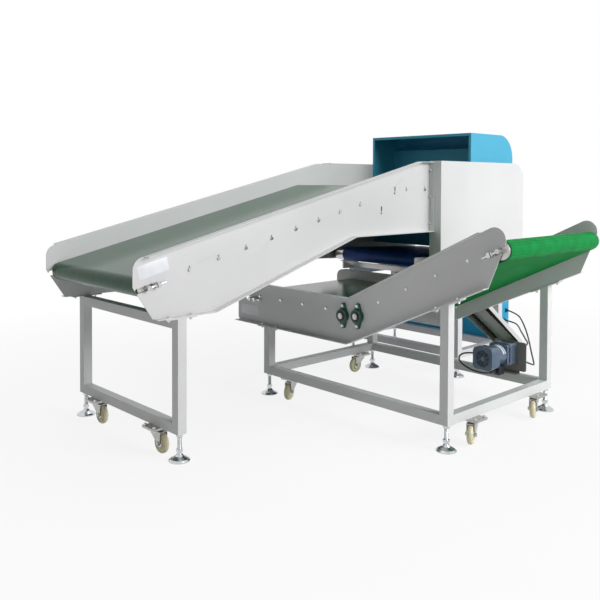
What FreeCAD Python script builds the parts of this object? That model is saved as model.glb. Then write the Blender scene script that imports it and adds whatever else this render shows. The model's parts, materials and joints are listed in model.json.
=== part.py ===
"""Conveyor metal detector for bulk food: infeed conveyor, detector head, reversing belt and lift conveyor.

Working frame while building: +X is the infeed's direction of travel, Y = 0 is its centreline, X = 0 is the
outer face of the lift conveyor's frame and Z = 0 is the floor. Everything is moved at the end so that the
origin lies on the floor in the middle of the machine's plan. Millimetres throughout.
"""
import FreeCAD, Part
import math
import os

V = FreeCAD.Vector

# ---------------------------------------------------------------- driving dimensions
# stock
tube = 50.0                  # square tube of every stand
tube_wall = 2.5
sheet = 4.0                  # folded side plates
thin_sheet = 2.0             # covers and chutes
flange = 42.0                # turned edges, measured out from the plate's face
frame_foot_z = 130.0         # underside of every stand
foot_plate = 6.0             # plate welded on a post, which the conveyors bolt to
belt = 3.0                   # belt thickness
bed_sheet = 2.5              # slider bed under a top run
gap = 0.3                    # between a moving piece and a still one

# rollers
end_roller_r = 44.5
bend_roller_r = 40.0
return_roller_r = 39.0
shell_wall = 3.5
shaft_r = 12.5
shaft_fit = 0.05             # radial play of a shaft in its bore
side_play = 4.0              # from a roller's end to the side plate
live_play = 10.0             # the same for the rollers whose bearings have nuts inside the plates

# infeed conveyor, side view X and Z
infeed_half = 456.0          # centreline to the plates' outer faces
infeed_front_x = -1261.0
infeed_front_top_z = 973.0
infeed_front_low_z = 849.0
infeed_heel_x = -1154.0
infeed_foot_end_x = -816.0
infeed_knee_x = 203.0
infeed_knee_z = 1010.0
infeed_top_knee_x = 828.0
infeed_top_z = 1468.0
infeed_nose_r = 60.0
deck_z = 1312.0              # belt top inside the head
side_wall = 100.0            # upright height of the side plates above the climbing belt
tail_roller_x = -1186.0
head_drum_x = 1480.0
return_roller_x = 469.0
infeed_belt_half = 437.0
stand_x = -1045.0
stand_top_z = 683.0
infeed_screw_x = -951.0      # first bed screw, then one per pitch
infeed_screw_pitch = 175.0
infeed_screws = 8
deck_screw_x = 711.0
deck_screw_pitch = 188.0
member = 40.0                # square tube cross members
climb_packing = 11.0         # bar on the members under the climbing bed

# lift conveyor, side view Y and Z
lift_width = 1028.0
lift_left_y = 415.0
lift_left_leg_y = 104.0
lift_right_leg_y = -1289.0
lift_bottom_z = 425.0
lift_top_z = 683.0
lift_bend_y = -600.0
lift_nose_y = -1632.0        # sharp corner that the nose is rounded from
lift_nose_z = 1188.0
lift_nose_r = 60.0
lift_toe_y = -1482.0
lift_toe_z = 829.0
lift_corner_r = 50.0
flat_axis_z = 577.0
flat_tail_y = 272.0
ribbed_tail_y = -658.0
ribbed_tail_z = 588.0        # lies one whole number of chain pitches from the flat head roller
ribbed_head_y = -1545.0
ribbed_head_z = 1014.0
flat_screw_y = 190.0
flat_screw_pitch = 198.0
flat_screws = 4
ribbed_screw_y = -806.0
ribbed_screw_pitch = 188.0
ribbed_screws = 4

# bearing units at the bend
bearing_bolts = 113.0
bearing_height = 144.0
bearing_boss_r = 39.0
bearing_base = 13.0
bearing_depth = 27.0
bearing_ring_r = 17.0
bearing_reach = 34.0

# chain drive
pitch = 15.875
chain_roller_r = 5.08
tooth_gap = 0.35             # sprocket tips stop this far inside the chain rollers
tooth_cut_r = 4.2            # round gaps between the teeth, centred just outside the tips
tooth_out = 1.4
chain_inner = 9.65           # between the inner plates
chain_plate = 2.0
chain_plate_h = 14.5
drive_teeth = 20
drive_centres = 28           # shaft distance in chain pitches
drive_drop = 36.6            # slope of the drive chain below level, degrees
transfer_teeth = 12
transfer_centres = 7
transfer_chain_x = 59.0      # chain planes, out from the far side plate's face
drive_chain_x = 84.0
guard_start_x = lift_width + 20.0
guard_depth = 46.0
guard_big_r = 89.0           # round the driven sprocket
guard_small_r = 62.0         # round the motor's sprocket

# gear motor
motor_square = 130.0
motor_plate_x = lift_width - 28.0
motor_plate_t = 6.0
motor_plate_w = 218.0
motor_plate_low_z = 196.0
motor_plate_top_z = 371.0
motor_plate_y = -923.0       # edge nearest the middle of the lift
output_rise = 20.0           # output shaft above the motor's axis
gear_head_len = 72.0
motor_len = 150.0
cowl_len = 50.0
output_shaft_r = 11.0

# detector head
head_front_x = 954.0
head_rear_x = 1978.0
cover_depth = 92.0
cover_top_z = 1475.0
cover_low_z = 760.0
cover_round = 120.0
hood_front_x = 1428.0
hood_top_z = 1684.0
hood_low_z = 1330.0
hood_round = 170.0
hood_rim = 20.0
baffle_x = 1697.0
baffle_top_z = 1588.0
case_front_x = 1447.0
case_rear_x = 1960.0
case_low_z = 862.0
case_top_z = 1190.0
chute_front_x = 1545.0
chute_rear_x = 1890.0
chute_half = 345.0
head_post_1_x = 1215.0
head_post_2_x = 1722.0
cabinet_depth = 88.0
cabinet_top_z = 700.0

head_half = infeed_half + thin_sheet + tube

# reversing conveyor under the chute
reverser_front_x = 1025.0
reverser_rear_x = 1925.0
reverser_front_z = 797.5
reverser_fall = 40.0          # the rear roller lies this much lower, to clear the chute
reverser_belt_half = 355.0
reverser_plate_half = 450.0
reverser_shell_half = 433.0
reverser_plate_x = 806.0
reverser_plate_h = 76.0

# feet and castors
pad_r = 52.0
stud_r = 10.0
nut_flats = 31.0
castor_wheel_r = 52.0
castor_wheel_w = 32.0
castor_lift = 4.0            # wheels hang this far above the floor, on the feet
castor_trail = 48.0
castor_axle_r = 6.0
castor_plate_w = 104.0
castor_bolts = 80.0
castor_plate_t = 5.0

# fasteners
bolt_r = 4.0
bolt_head_flats = 15.0
bolt_head_h = 6.0

# cords
cord_r = 5.0

# ---------------------------------------------------------------- helpers


def box(x0, x1, y0, y1, z0, z1):
    return Part.makeBox(x1 - x0, y1 - y0, z1 - z0, V(x0, y0, z0))


def rod(start, axis, radius, length):
    return Part.makeCylinder(radius, length, start, axis)


def ring(start, axis, outer, inner, length):
    return rod(start, axis, outer, length).cut(rod(start, axis, inner, length))


def hexagon(start, axis, flats, length):
    """Hexagonal prism, its width across flats given, standing on start along axis."""
    wire = Part.makePolygon([V(flats / math.sqrt(3) * math.cos(math.radians(60 * i)),
                               flats / math.sqrt(3) * math.sin(math.radians(60 * i)), 0) for i in range(7)])
    solid = Part.Face(wire).extrude(V(0, 0, length))
    solid.Placement = FreeCAD.Placement(start, FreeCAD.Rotation(V(0, 0, 1), axis))
    return solid


def rounded(before, here, after, radius):
    """Start, middle and end of the arc that rounds a corner."""
    back = (before - here).normalize()
    ahead = (after - here).normalize()
    half = back.getAngle(ahead) / 2
    reach = radius / math.tan(half)
    inward = (back + ahead).normalize()
    return here + back * reach, here + inward * (radius / math.sin(half) - radius), here + ahead * reach


def outline(corners):
    """Closed wire through (point, radius) corners."""
    points = [point for point, _ in corners]
    count = len(corners)
    bends = []
    for i, (here, radius) in enumerate(corners):
        if radius:
            bends.append(rounded(points[i - 1], here, points[(i + 1) % count], radius))
        else:
            bends.append((here, None, here))
    edges = []
    for i, (start, middle, end) in enumerate(bends):
        if middle:
            edges.append(Part.Arc(start, middle, end).toShape())
        following = bends[(i + 1) % count][0]
        edges.append(Part.LineSegment(end, following).toShape())
    return Part.Wire(edges)


def along_infeed(run, across, z):
    return V(run, across, z)


def along_lift(run, across, z):
    return V(across, run, z)


def slab(at, corners, across, depth):
    """Prism of a side-view outline. corners are (run, z) or (run, z, radius), drawn at one side coordinate."""
    placed = [(at(c[0], across, c[1]), c[2] if len(c) > 2 else 0) for c in corners]
    return Part.Face(outline(placed)).extrude(at(0, depth, 0))


def strip(points, thickness):
    """Side view of a sheet bent along points, thickened towards the left of its direction."""
    path = [V(run, z, 0) for run, z in points]
    offset = []
    for i, here in enumerate(path):
        before = (here - path[i - 1]).normalize() if i else None
        after = (path[i + 1] - here).normalize() if i + 1 < len(path) else None
        before = before or after
        after = after or before
        mean = (before + after).normalize()
        offset.append(here + V(-mean.y, mean.x, 0) * (thickness / (mean.x * after.x + mean.y * after.y)))
    return [(p.x, p.y) for p in path] + [(p.x, p.y) for p in reversed(offset)]


def square_tube(x0, x1, y0, y1, z0, z1):
    """Hollow tube along its longest side, open at both ends."""
    spans = (x1 - x0, y1 - y0, z1 - z0)
    t = [0.0 if span == max(spans) else tube_wall for span in spans]
    solid = box(x0, x1, y0, y1, z0, z1)
    return solid.cut(box(x0 + t[0], x1 - t[0], y0 + t[1], y1 - t[1], z0 + t[2], z1 - t[2]))


def belt_wire(wheels, extra, at, across):
    """Closed line round wheels (run, z, radius, side), going anticlockwise, with side +1 for a wheel inside the
    loop and -1 for one that presses on its outside. extra runs from 0 on the inner face to belt on the outer."""
    lines = []
    count = len(wheels)
    reach = [-(w[2] + gap + extra) if w[3] > 0 else w[2] + gap + belt - extra for w in wheels]
    for i in range(count):
        j = (i + 1) % count
        dx, dz = wheels[j][0] - wheels[i][0], wheels[j][1] - wheels[i][1]
        turn = math.atan2(dz, dx) - math.asin((reach[i] - reach[j]) / math.hypot(dx, dz))
        normal = (-math.sin(turn), math.cos(turn))
        ends = [(wheels[k][0] + reach[k] * normal[0], wheels[k][1] + reach[k] * normal[1]) for k in (i, j)]
        lines.append((turn, ends))
    edges = []
    for i in range(count):
        turn_in, (_, touch) = lines[i - 1]
        turn_out, (leave, far) = lines[i]
        swing = (turn_out - turn_in) % (2 * math.pi)
        if wheels[i][3] < 0:
            swing -= 2 * math.pi
        middle = turn_in + swing / 2
        halfway = (wheels[i][0] - reach[i] * math.sin(middle), wheels[i][1] + reach[i] * math.cos(middle))
        edges.append(Part.Arc(*[at(p[0], across, p[1]) for p in (touch, halfway, leave)]).toShape())
        edges.append(Part.LineSegment(at(leave[0], across, leave[1]), at(far[0], across, far[1])).toShape())
    return Part.Wire(edges)


def belt_loop(wheels, at, low, high):
    """Endless belt round its wheels, from one side coordinate to the other."""
    outer = Part.Face(belt_wire(wheels, belt, at, low)).extrude(at(0, high - low, 0))
    inner = Part.Face(belt_wire(wheels, 0.0, at, low)).extrude(at(0, high - low, 0))
    return outer.cut(inner)


def roller_shell(at, run, z, radius, low, high):
    """Roller that turns on a still shaft: a tube with two end caps."""
    axis = at(0, 1, 0)
    body = rod(at(run, low, z), axis, radius, high - low)
    cap = 12.0
    body = body.cut(rod(at(run, low + cap, z), axis, radius - shell_wall, high - low - 2 * cap))
    return body.cut(rod(at(run, low, z), axis, shaft_r + shaft_fit, high - low))


def slot_cut(at, start, end, radius, across, depth):
    """Slot with round ends through a side plate, from start to end in side view."""
    a, b = V(start[0], start[1], 0), V(end[0], end[1], 0)
    d = (b - a).normalize() * radius
    n = V(-d.y, d.x, 0)
    bar = [a + n, a - n, b - n, b + n]
    solid = slab(at, [(p.x, p.y) for p in bar], across, depth)
    for p in (a, b):
        solid = solid.fuse(rod(at(p.x, across, p.y), at(0, depth, 0), radius, abs(depth)))
    return solid


def bolt(point, inward, grip, washer=1.5, head=bolt_head_h):
    """Hexagon bolt with its washer under the head, its shank running inward from the face at point."""
    solid = rod(point, inward, bolt_r, grip)
    solid = solid.fuse(hexagon(point - inward * (washer + head), inward, bolt_head_flats, head))
    if washer:
        solid = solid.fuse(rod(point - inward * washer, inward, bolt_head_flats * 0.62, washer))
    return solid


def nut(point, outward, flats, height, bore):
    return hexagon(point, outward, flats, height).cut(rod(point, outward, bore, height))


parts = {}


def add(name, *solids):
    parts.setdefault(name, []).extend(solids)


# ---------------------------------------------------------------- derived lines

climb = (infeed_top_z - infeed_front_top_z) / (infeed_top_knee_x - infeed_front_x)
climb_angle = math.atan(climb)


def infeed_belt_z(x):
    """Top of the infeed belt."""
    return min(infeed_front_top_z + climb * (x - infeed_front_x) - side_wall, deck_z)


deck_start_x = infeed_front_x + (deck_z + side_wall - infeed_front_top_z) / climb
skin = belt + gap                               # from a roller to the belt's outer face
tail_roller_z = infeed_belt_z(tail_roller_x) - (end_roller_r + skin) / math.cos(climb_angle)
bend_roller_x = deck_start_x + (bend_roller_r + skin) * math.tan(climb_angle / 2)
bend_roller_z = deck_z - bend_roller_r - skin
head_drum_z = deck_z - end_roller_r - skin
return_roller_z = infeed_belt_z(return_roller_x) - 2 * (end_roller_r + skin) / math.cos(climb_angle) \
    - return_roller_r + gap

lift_slope = math.atan2(ribbed_head_z - ribbed_tail_z, ribbed_tail_y - ribbed_head_y)


def ribbed_top(y):
    """Top face of the ribbed belt."""
    return ribbed_tail_z + math.tan(lift_slope) * (ribbed_tail_y - y) + (end_roller_r + skin) / math.cos(lift_slope)


flat_top_z = flat_axis_z + end_roller_r + skin
transfer_span = transfer_centres * pitch
flat_head_y = ribbed_tail_y + math.sqrt(transfer_span ** 2 - (ribbed_tail_z - flat_axis_z) ** 2)
lift_near = flange                              # outer face of the near side plate
lift_far = lift_width - flange
lift_under = (lift_toe_z - lift_bottom_z) / (lift_bend_y - lift_toe_y)     # slope of the climbing underside


def lift_underside(y):
    """Underside of the lift's climbing plates."""
    return lift_bottom_z + lift_under * (lift_bend_y - y)


# ---------------------------------------------------------------- infeed conveyor

bolts = []                                      # every hexagon bolt of the machine
takeups = []
shafts = []


def takeup(at, run, z, angle, face, out, pull):
    """Draw bolt of an end roller: lug welded on the plate, threaded rod, two nuts. pull is +1 where the lug is
    on the greater side of the roller's run coordinate."""
    d = (math.cos(angle) * pull, math.sin(angle) * pull)
    axis = at(d[0], 0, d[1])
    middle = face + out * 16.0
    lug_run, lug_z = run + d[0] * 50.0, z + d[1] * 50.0
    n = (-d[1], d[0])
    square = [(lug_run + d[0] * a + n[0] * b, lug_z + d[1] * a + n[1] * b)
              for a, b in ((-6.0, -13.0), (6.0, -13.0), (6.0, 13.0), (-6.0, 13.0))]
    lug = slab(at, square, face, out * 30.0)
    start = at(run + d[0] * (shaft_r + gap), middle, z + d[1] * (shaft_r + gap))
    lug = lug.cut(rod(start, axis, 6.0, 90.0))
    screw = rod(start, axis, 6.0, 82.0)
    nuts = [nut(at(run + d[0] * far, middle, z + d[1] * far), axis, 19.0, 9.0, 6.0) for far in (33.0, 57.0)]
    takeups.extend([lug, screw] + nuts)
    return (run - d[0] * 52.0, z - d[1] * 52.0), (run + d[0] * 24.0, z + d[1] * 24.0)


def dead_shaft(at, run, z, low, high):
    """Still shaft that a roller turns on."""
    shafts.append(rod(at(run, low, z), at(0, 1, 0), shaft_r, high - low))


def infeed_plate(side):
    """Folded side plate of the infeed, side -1 near and +1 far, with turned flanges and all its holes."""
    face = side * infeed_half
    foot_z = stand_top_z + foot_plate
    corners = [(infeed_front_x, infeed_front_top_z, infeed_nose_r), (infeed_front_x, infeed_front_low_z, 25.0),
               (infeed_heel_x, foot_z), (infeed_foot_end_x, foot_z), (infeed_knee_x, infeed_knee_z),
               (head_front_x - sheet, infeed_knee_z), (head_front_x - sheet, infeed_top_z),
               (infeed_top_knee_x, infeed_top_z)]
    plate = slab(along_infeed, corners, face, -side * sheet)
    top = [(head_front_x - sheet, infeed_top_z), (infeed_top_knee_x, infeed_top_z),
           (infeed_front_x + infeed_nose_r, infeed_front_top_z + climb * infeed_nose_r)]
    bottom = [(infeed_heel_x, foot_z), (infeed_foot_end_x, foot_z), (infeed_knee_x, infeed_knee_z),
              (head_front_x - sheet, infeed_knee_z)]
    lip = [(head_front_x, infeed_knee_z), (head_front_x, infeed_top_z)]
    inner = face - side * sheet
    folds = [slab(along_infeed, strip(line, sheet), inner, side * (sheet + flange)) for line in (top, bottom, lip)]
    plate = plate.fuse(folds).removeSplitter()
    slot_a, slot_b = takeup(along_infeed, tail_roller_x, tail_roller_z, climb_angle, face, side, 1)
    cuts = [slot_cut(along_infeed, slot_a, slot_b, shaft_r + gap, face, -side * sheet)]
    for x, z in ((bend_roller_x, bend_roller_z), (return_roller_x, return_roller_z)):
        cuts.append(slot_cut(along_infeed, (x, z), (x, z + 34.0), 5.0, face, -side * sheet))
        bolts.append(bolt(along_infeed(x, face, z), V(0, -side, 0), sheet + 14.0))
    for x, z in bed_screws:
        cuts.append(slot_cut(along_infeed, (x, z), (x, z + 14.0), bolt_r, face, -side * sheet))
        bolts.append(bolt(along_infeed(x, face, z), V(0, -side, 0), sheet + 10.0))
    for dx in (-62.0, 62.0):
        spot = V(stand_x + tube / 2 + dx, side * (infeed_half + flange / 2), foot_z + sheet)
        cuts.append(rod(spot, V(0, 0, -1), bolt_r, sheet))
        bolts.append(bolt(spot, V(0, 0, -1), sheet + foot_plate + 12.0))
        bolts.append(nut(spot - V(0, 0, sheet + foot_plate), V(0, 0, -1), bolt_head_flats, 7.0, bolt_r))
    for z in lip_bolts:
        spot = V(head_front_x - sheet, side * (infeed_half + flange * 0.4), z)
        cuts.append(rod(spot, V(1, 0, 0), bolt_r, sheet))
        bolts.append(bolt(spot, V(1, 0, 0), sheet + thin_sheet + 4.0))
    return plate.cut(cuts)


member_drop = skin + bed_sheet + member / 2     # from the belt's top to a cross member's middle
bed_screws = [(infeed_screw_x + i * infeed_screw_pitch,
               infeed_belt_z(infeed_screw_x + i * infeed_screw_pitch)
               - (member_drop + climb_packing) / math.cos(climb_angle))
              for i in range(infeed_screws)]
bed_screws += [(deck_screw_x + i * deck_screw_pitch, deck_z - member_drop) for i in range(2)]
lip_bolts = [infeed_knee_z + 57.0 + i * 174.0 for i in range(3)]

add("infeed_side_plate_near", infeed_plate(-1))
add("infeed_side_plate_far", infeed_plate(1))

inner_half = infeed_half - sheet
infeed_wheels = [(tail_roller_x, tail_roller_z, end_roller_r, 1),
                 (return_roller_x, return_roller_z, return_roller_r, -1),
                 (head_drum_x, head_drum_z, end_roller_r, 1), (bend_roller_x, bend_roller_z, bend_roller_r, 1)]
add("infeed_belt", belt_loop(infeed_wheels, along_infeed, -infeed_belt_half, infeed_belt_half))


def bed(points, at, low, high):
    """Slider bed: a sheet under the belt's top run, bent along points of the belt's top face."""
    under = strip(points, -skin - 0.0)
    line = list(reversed(under[len(points):]))
    return slab(at, strip(line, -bed_sheet), low, high - low)


bed_clear = end_roller_r + 12.0
bed_start_x = tail_roller_x + bed_clear
climb_end_x = bend_roller_x - bend_roller_r - 8.0
deck_bed_x = bend_roller_x + bend_roller_r + 8.0
for first, last in ((bed_start_x, climb_end_x), (deck_bed_x, head_drum_x - bed_clear)):
    line = [(first, infeed_belt_z(first)), (last, infeed_belt_z(last))]
    add("slider_beds", bed(line, along_infeed, -inner_half + 1.0, inner_half - 1.0))

members = []


def cross_member(at, run, z, angle, low, high, packing=0.0):
    """Square tube between two side plates, closed at its ends by blocks that the bed screws bite into, with a
    packing bar on top where the bed lies higher."""
    length = high - low
    half = member / 2
    solid = box(-half, half, 0, length, -half, half)
    solid = solid.cut(box(-half + 2, half - 2, 10, length - 10, -half + 2, half - 2))
    solid = solid.cut(rod(V(0, 0, 0), V(0, 1, 0), bolt_r, length))
    if packing:
        solid = solid.fuse(box(-half, half, 0, length, half, half + packing)).removeSplitter()
    if at is along_lift:
        solid.rotate(V(0, 0, 0), V(0, 0, 1), -90)
        solid.rotate(V(0, 0, 0), V(1, 0, 0), math.degrees(angle))
    else:
        solid.rotate(V(0, 0, 0), V(0, 1, 0), -math.degrees(angle))
    solid.translate(at(run, low, z))
    members.append(solid)


for x, z in bed_screws:
    climbing = x < deck_start_x
    cross_member(along_infeed, x, z, climb_angle if climbing else 0.0, -inner_half, inner_half,
                 climb_packing if climbing else 0.0)

shell_half = inner_half - side_play
add("infeed_tail_roller", roller_shell(along_infeed, tail_roller_x, tail_roller_z, end_roller_r,
                                       -shell_half, shell_half))
add("infeed_bend_roller", roller_shell(along_infeed, bend_roller_x, bend_roller_z, bend_roller_r,
                                       -shell_half, shell_half))
add("infeed_return_roller", roller_shell(along_infeed, return_roller_x, return_roller_z, return_roller_r,
                                         -shell_half, shell_half))
add("infeed_head_drum", roller_shell(along_infeed, head_drum_x, head_drum_z, end_roller_r,
                                     -shell_half, shell_half))
shaft_reach = infeed_half + 28.0
dead_shaft(along_infeed, tail_roller_x, tail_roller_z, -shaft_reach, shaft_reach)
for x, z in ((bend_roller_x, bend_roller_z), (return_roller_x, return_roller_z)):
    inside = rod(V(x, -inner_half, z), V(0, 1, 0), shaft_r, 2 * inner_half)
    for side in (-1, 1):
        inside = inside.cut(rod(V(x, side * inner_half, z), V(0, -side, 0), bolt_r, 14.0))
    shafts.append(inside)
dead_shaft(along_infeed, head_drum_x, head_drum_z, -infeed_half - 20.0, infeed_half + 20.0)


def post(x, y, top):
    """Upright of a stand, with the plug at its foot that takes the levelling stud."""
    upright = square_tube(x, x + tube, y, y + tube, frame_foot_z, top)
    plug = box(x + tube_wall, x + tube - tube_wall, y + tube_wall, y + tube - tube_wall,
               frame_foot_z, frame_foot_z + 20.0)
    stud_hole = rod(V(x + tube / 2, y + tube / 2, frame_foot_z), V(0, 0, 1), stud_r, 20.0)
    return upright.fuse(plug.cut(stud_hole)).removeSplitter()


stand_half = infeed_half + flange
feet = []                                       # plan positions of the levelling feet
for y in (-stand_half, stand_half - tube):
    add("infeed_stand", post(stand_x, y, stand_top_z))
    feet.append((stand_x + tube / 2, y + tube / 2))
    cap = box(stand_x + tube / 2 - 88.0, stand_x + tube / 2 + 88.0, y, y + tube,
              stand_top_z, stand_top_z + foot_plate)
    outer_y = math.copysign(infeed_half + flange / 2, y)
    for dx in (-62.0, 62.0):
        cap = cap.cut(rod(V(stand_x + tube / 2 + dx, outer_y, stand_top_z), V(0, 0, 1), bolt_r, foot_plate))
    add("infeed_stand", cap)
for z in (frame_foot_z, stand_top_z - tube):
    add("infeed_stand", square_tube(stand_x, stand_x + tube, -stand_half + tube, stand_half - tube, z, z + tube))

# ---------------------------------------------------------------- lift conveyor


def lift_plate(side):
    """Folded side plate of the lift, side -1 near the infeed's front and +1 far."""
    face = lift_near if side < 0 else lift_far
    corners = [(lift_left_y, lift_top_z, lift_corner_r), (lift_left_y, lift_bottom_z + 15.0),
               (lift_left_y - 15.0, lift_bottom_z), (lift_bend_y, lift_bottom_z), (lift_toe_y, lift_toe_z),
               (lift_nose_y, lift_nose_z, lift_nose_r), (lift_bend_y, lift_top_z)]
    plate = slab(along_lift, corners, face, -side * sheet)
    slope = (lift_nose_z - lift_top_z) / (lift_nose_y - lift_bend_y)
    flange_end_y = lift_nose_y + lift_nose_r * 3.0
    top = [(flange_end_y, lift_top_z + slope * (flange_end_y - lift_bend_y)), (lift_bend_y, lift_top_z),
           (lift_left_y - lift_corner_r, lift_top_z)]
    bottom = [(lift_left_y - 15.0, lift_bottom_z), (lift_bend_y, lift_bottom_z),
              (lift_toe_y, lift_toe_z)]
    inner = face - side * sheet
    folds = [slab(along_lift, strip(line, -sheet), inner, side * (sheet + flange)) for line in (top, bottom)]
    plate = plate.fuse(folds).removeSplitter()
    cuts = []
    for y, z, angle, pull in ((flat_tail_y, flat_axis_z, 0.0, -1), (ribbed_head_y, ribbed_head_z, -lift_slope, 1)):
        slot_a, slot_b = takeup(along_lift, y, z, angle, face, side, pull)
        cuts.append(slot_cut(along_lift, slot_a, slot_b, shaft_r + gap, face, -side * sheet))
    for y, z in ((flat_head_y, flat_axis_z), (ribbed_tail_y, ribbed_tail_z)):
        cuts.append(rod(along_lift(y, face, z), V(-side, 0, 0), shaft_r + 4.0, sheet))
        for dz in (-bearing_bolts / 2, bearing_bolts / 2):
            cuts.append(rod(along_lift(y, face, z + dz), V(-side, 0, 0), bolt_r, sheet))
            bolts.append(bolt(along_lift(y, face + side * bearing_base, z + dz), V(-side, 0, 0),
                              bearing_base + sheet + 8.0))
            bolts.append(nut(along_lift(y, inner, z + dz), V(-side, 0, 0), bolt_head_flats, 7.0, bolt_r))
    for y, z in lift_screws:
        cuts.append(rod(along_lift(y, face, z), V(-side, 0, 0), bolt_r, sheet))
        bolts.append(bolt(along_lift(y, face, z), V(-side, 0, 0), sheet + 10.0))
    middle = face + side * flange / 2
    for y in leg_bolts_y:
        z = lift_bottom_z if y > lift_bend_y else lift_underside(y)
        lean = V(0, 0, -1) if y > lift_bend_y else V(0, -lift_under, -1).normalize()
        spot = V(middle, y, z) - lean * sheet
        cuts.append(rod(spot, lean, bolt_r, sheet))
        bolts.append(bolt(spot, lean, sheet + foot_plate + 12.0))
        bolts.append(nut(spot + lean * (sheet + foot_plate), lean, bolt_head_flats, 7.0, bolt_r))
    return plate.cut(cuts)


lift_screws = [(flat_screw_y - i * flat_screw_pitch, flat_top_z - member_drop) for i in range(flat_screws)]
lift_screws += [(ribbed_screw_y - i * ribbed_screw_pitch,
                 ribbed_top(ribbed_screw_y - i * ribbed_screw_pitch) - member_drop / math.cos(lift_slope))
                for i in range(ribbed_screws)]
left_leg_mid = lift_left_leg_y - tube / 2
right_leg_mid = lift_right_leg_y + tube / 2
leg_bolts_y = [left_leg_mid - 65.0, left_leg_mid + 65.0, right_leg_mid - 65.0, right_leg_mid + 65.0]
add("lift_side_plate_near", lift_plate(-1))
add("lift_side_plate_far", lift_plate(1))

inner_near = lift_near + sheet
inner_far = lift_far - sheet
belt_margin = 19.0
for name, wheels in (("flat_belt", [(flat_head_y, flat_axis_z, end_roller_r, 1),
                                    (flat_tail_y, flat_axis_z, end_roller_r, 1)]),
                     ("ribbed_belt", [(ribbed_head_y, ribbed_head_z, end_roller_r, 1),
                                      (ribbed_tail_y, ribbed_tail_z, end_roller_r, 1)])):
    add(name, belt_loop(wheels, along_lift, inner_near + belt_margin, inner_far - belt_margin))

flat_line = [(flat_head_y + bed_clear, flat_top_z), (flat_tail_y - bed_clear, flat_top_z)]
ribbed_line = [(ribbed_head_y + bed_clear, ribbed_top(ribbed_head_y + bed_clear)),
               (ribbed_tail_y - bed_clear, ribbed_top(ribbed_tail_y - bed_clear))]
for line in (flat_line, ribbed_line):
    add("slider_beds", bed(line, along_lift, inner_near + 1.0, inner_far - 1.0))
for y, z in lift_screws:
    cross_member(along_lift, y, z, 0.0 if y > lift_bend_y else -lift_slope, inner_near, inner_far)

shell_near = inner_near + side_play
shell_far = inner_far - side_play
add("flat_tail_roller", roller_shell(along_lift, flat_tail_y, flat_axis_z, end_roller_r, shell_near, shell_far))
add("ribbed_head_roller", roller_shell(along_lift, ribbed_head_y, ribbed_head_z, end_roller_r,
                                       shell_near, shell_far))
dead_shaft(along_lift, flat_tail_y, flat_axis_z, lift_near - 28.0, lift_far + 28.0)
dead_shaft(along_lift, ribbed_head_y, ribbed_head_z, lift_near - 28.0, lift_far + 28.0)


def live_roller(y, z, end_x):
    """Roller keyed to its own shaft, with the bearing collars that turn with it."""
    low, high = inner_near + live_play, inner_far - live_play
    body = rod(V(low, y, z), V(1, 0, 0), end_roller_r, high - low)
    hollow = rod(V(low + 12, y, z), V(1, 0, 0), end_roller_r - shell_wall, high - low - 24)
    body = body.cut(hollow)
    start = lift_near - bearing_reach - 4.0
    shaft = rod(V(start, y, z), V(1, 0, 0), shaft_r, end_x - start)
    collars = [rod(V(x, y, z), V(1, 0, 0), bearing_ring_r, bearing_reach)
               for x in (lift_near - bearing_reach, lift_far)]
    return body.fuse([shaft] + collars).removeSplitter()


add("flat_head_roller", live_roller(flat_head_y, flat_axis_z, lift_far + transfer_chain_x + 8.0))
add("ribbed_tail_roller", live_roller(ribbed_tail_y, ribbed_tail_z, lift_far + drive_chain_x + 8.0))


def bearing_unit(y, z, face, out):
    """Oval two-bolt flange unit, bolt holes one above the other."""
    at = along_lift
    end_r = (bearing_height - bearing_bolts) / 2
    top, low = (y, z + bearing_bolts / 2), (y, z - bearing_bolts / 2)
    depth = out * bearing_base
    body = rod(at(y, face, z), V(out, 0, 0), bearing_boss_r, bearing_depth)
    ears = slot_cut(at, low, top, end_r, face, depth)
    web = slab(at, [(y - bearing_boss_r + 4, z), (y - end_r + 1, z - bearing_bolts / 2),
                    (y + end_r - 1, z - bearing_bolts / 2), (y + bearing_boss_r - 4, z),
                    (y + end_r - 1, z + bearing_bolts / 2), (y - end_r + 1, z + bearing_bolts / 2)], face, depth)
    body = body.fuse([ears, web]).removeSplitter()
    cuts = [rod(at(y, face, z), V(out, 0, 0), bearing_ring_r + gap, bearing_depth)]
    for spot in (top, low):
        cuts.append(rod(at(spot[0], face, spot[1]), V(out, 0, 0), bolt_r, bearing_base))
    return body.cut(cuts)


for y, z in ((flat_head_y, flat_axis_z), (ribbed_tail_y, ribbed_tail_z)):
    add("bearing_housings", bearing_unit(y, z, lift_near, -1), bearing_unit(y, z, lift_far, 1))


def sloping_post(x, y):
    """Leg under the climbing plates, its top cut to their slope."""
    leg = post(x, y, lift_underside(y))
    low = strip([(y - tube, lift_underside(y - tube)), (y + 2 * tube, lift_underside(y + 2 * tube))],
                -foot_plate)
    above = [low[-1], low[-2], (y + 2 * tube, lift_underside(y) + 300.0), (y - tube, lift_underside(y) + 300.0)]
    return leg.cut(slab(along_lift, above, x - 1.0, tube + 2.0))


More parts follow.
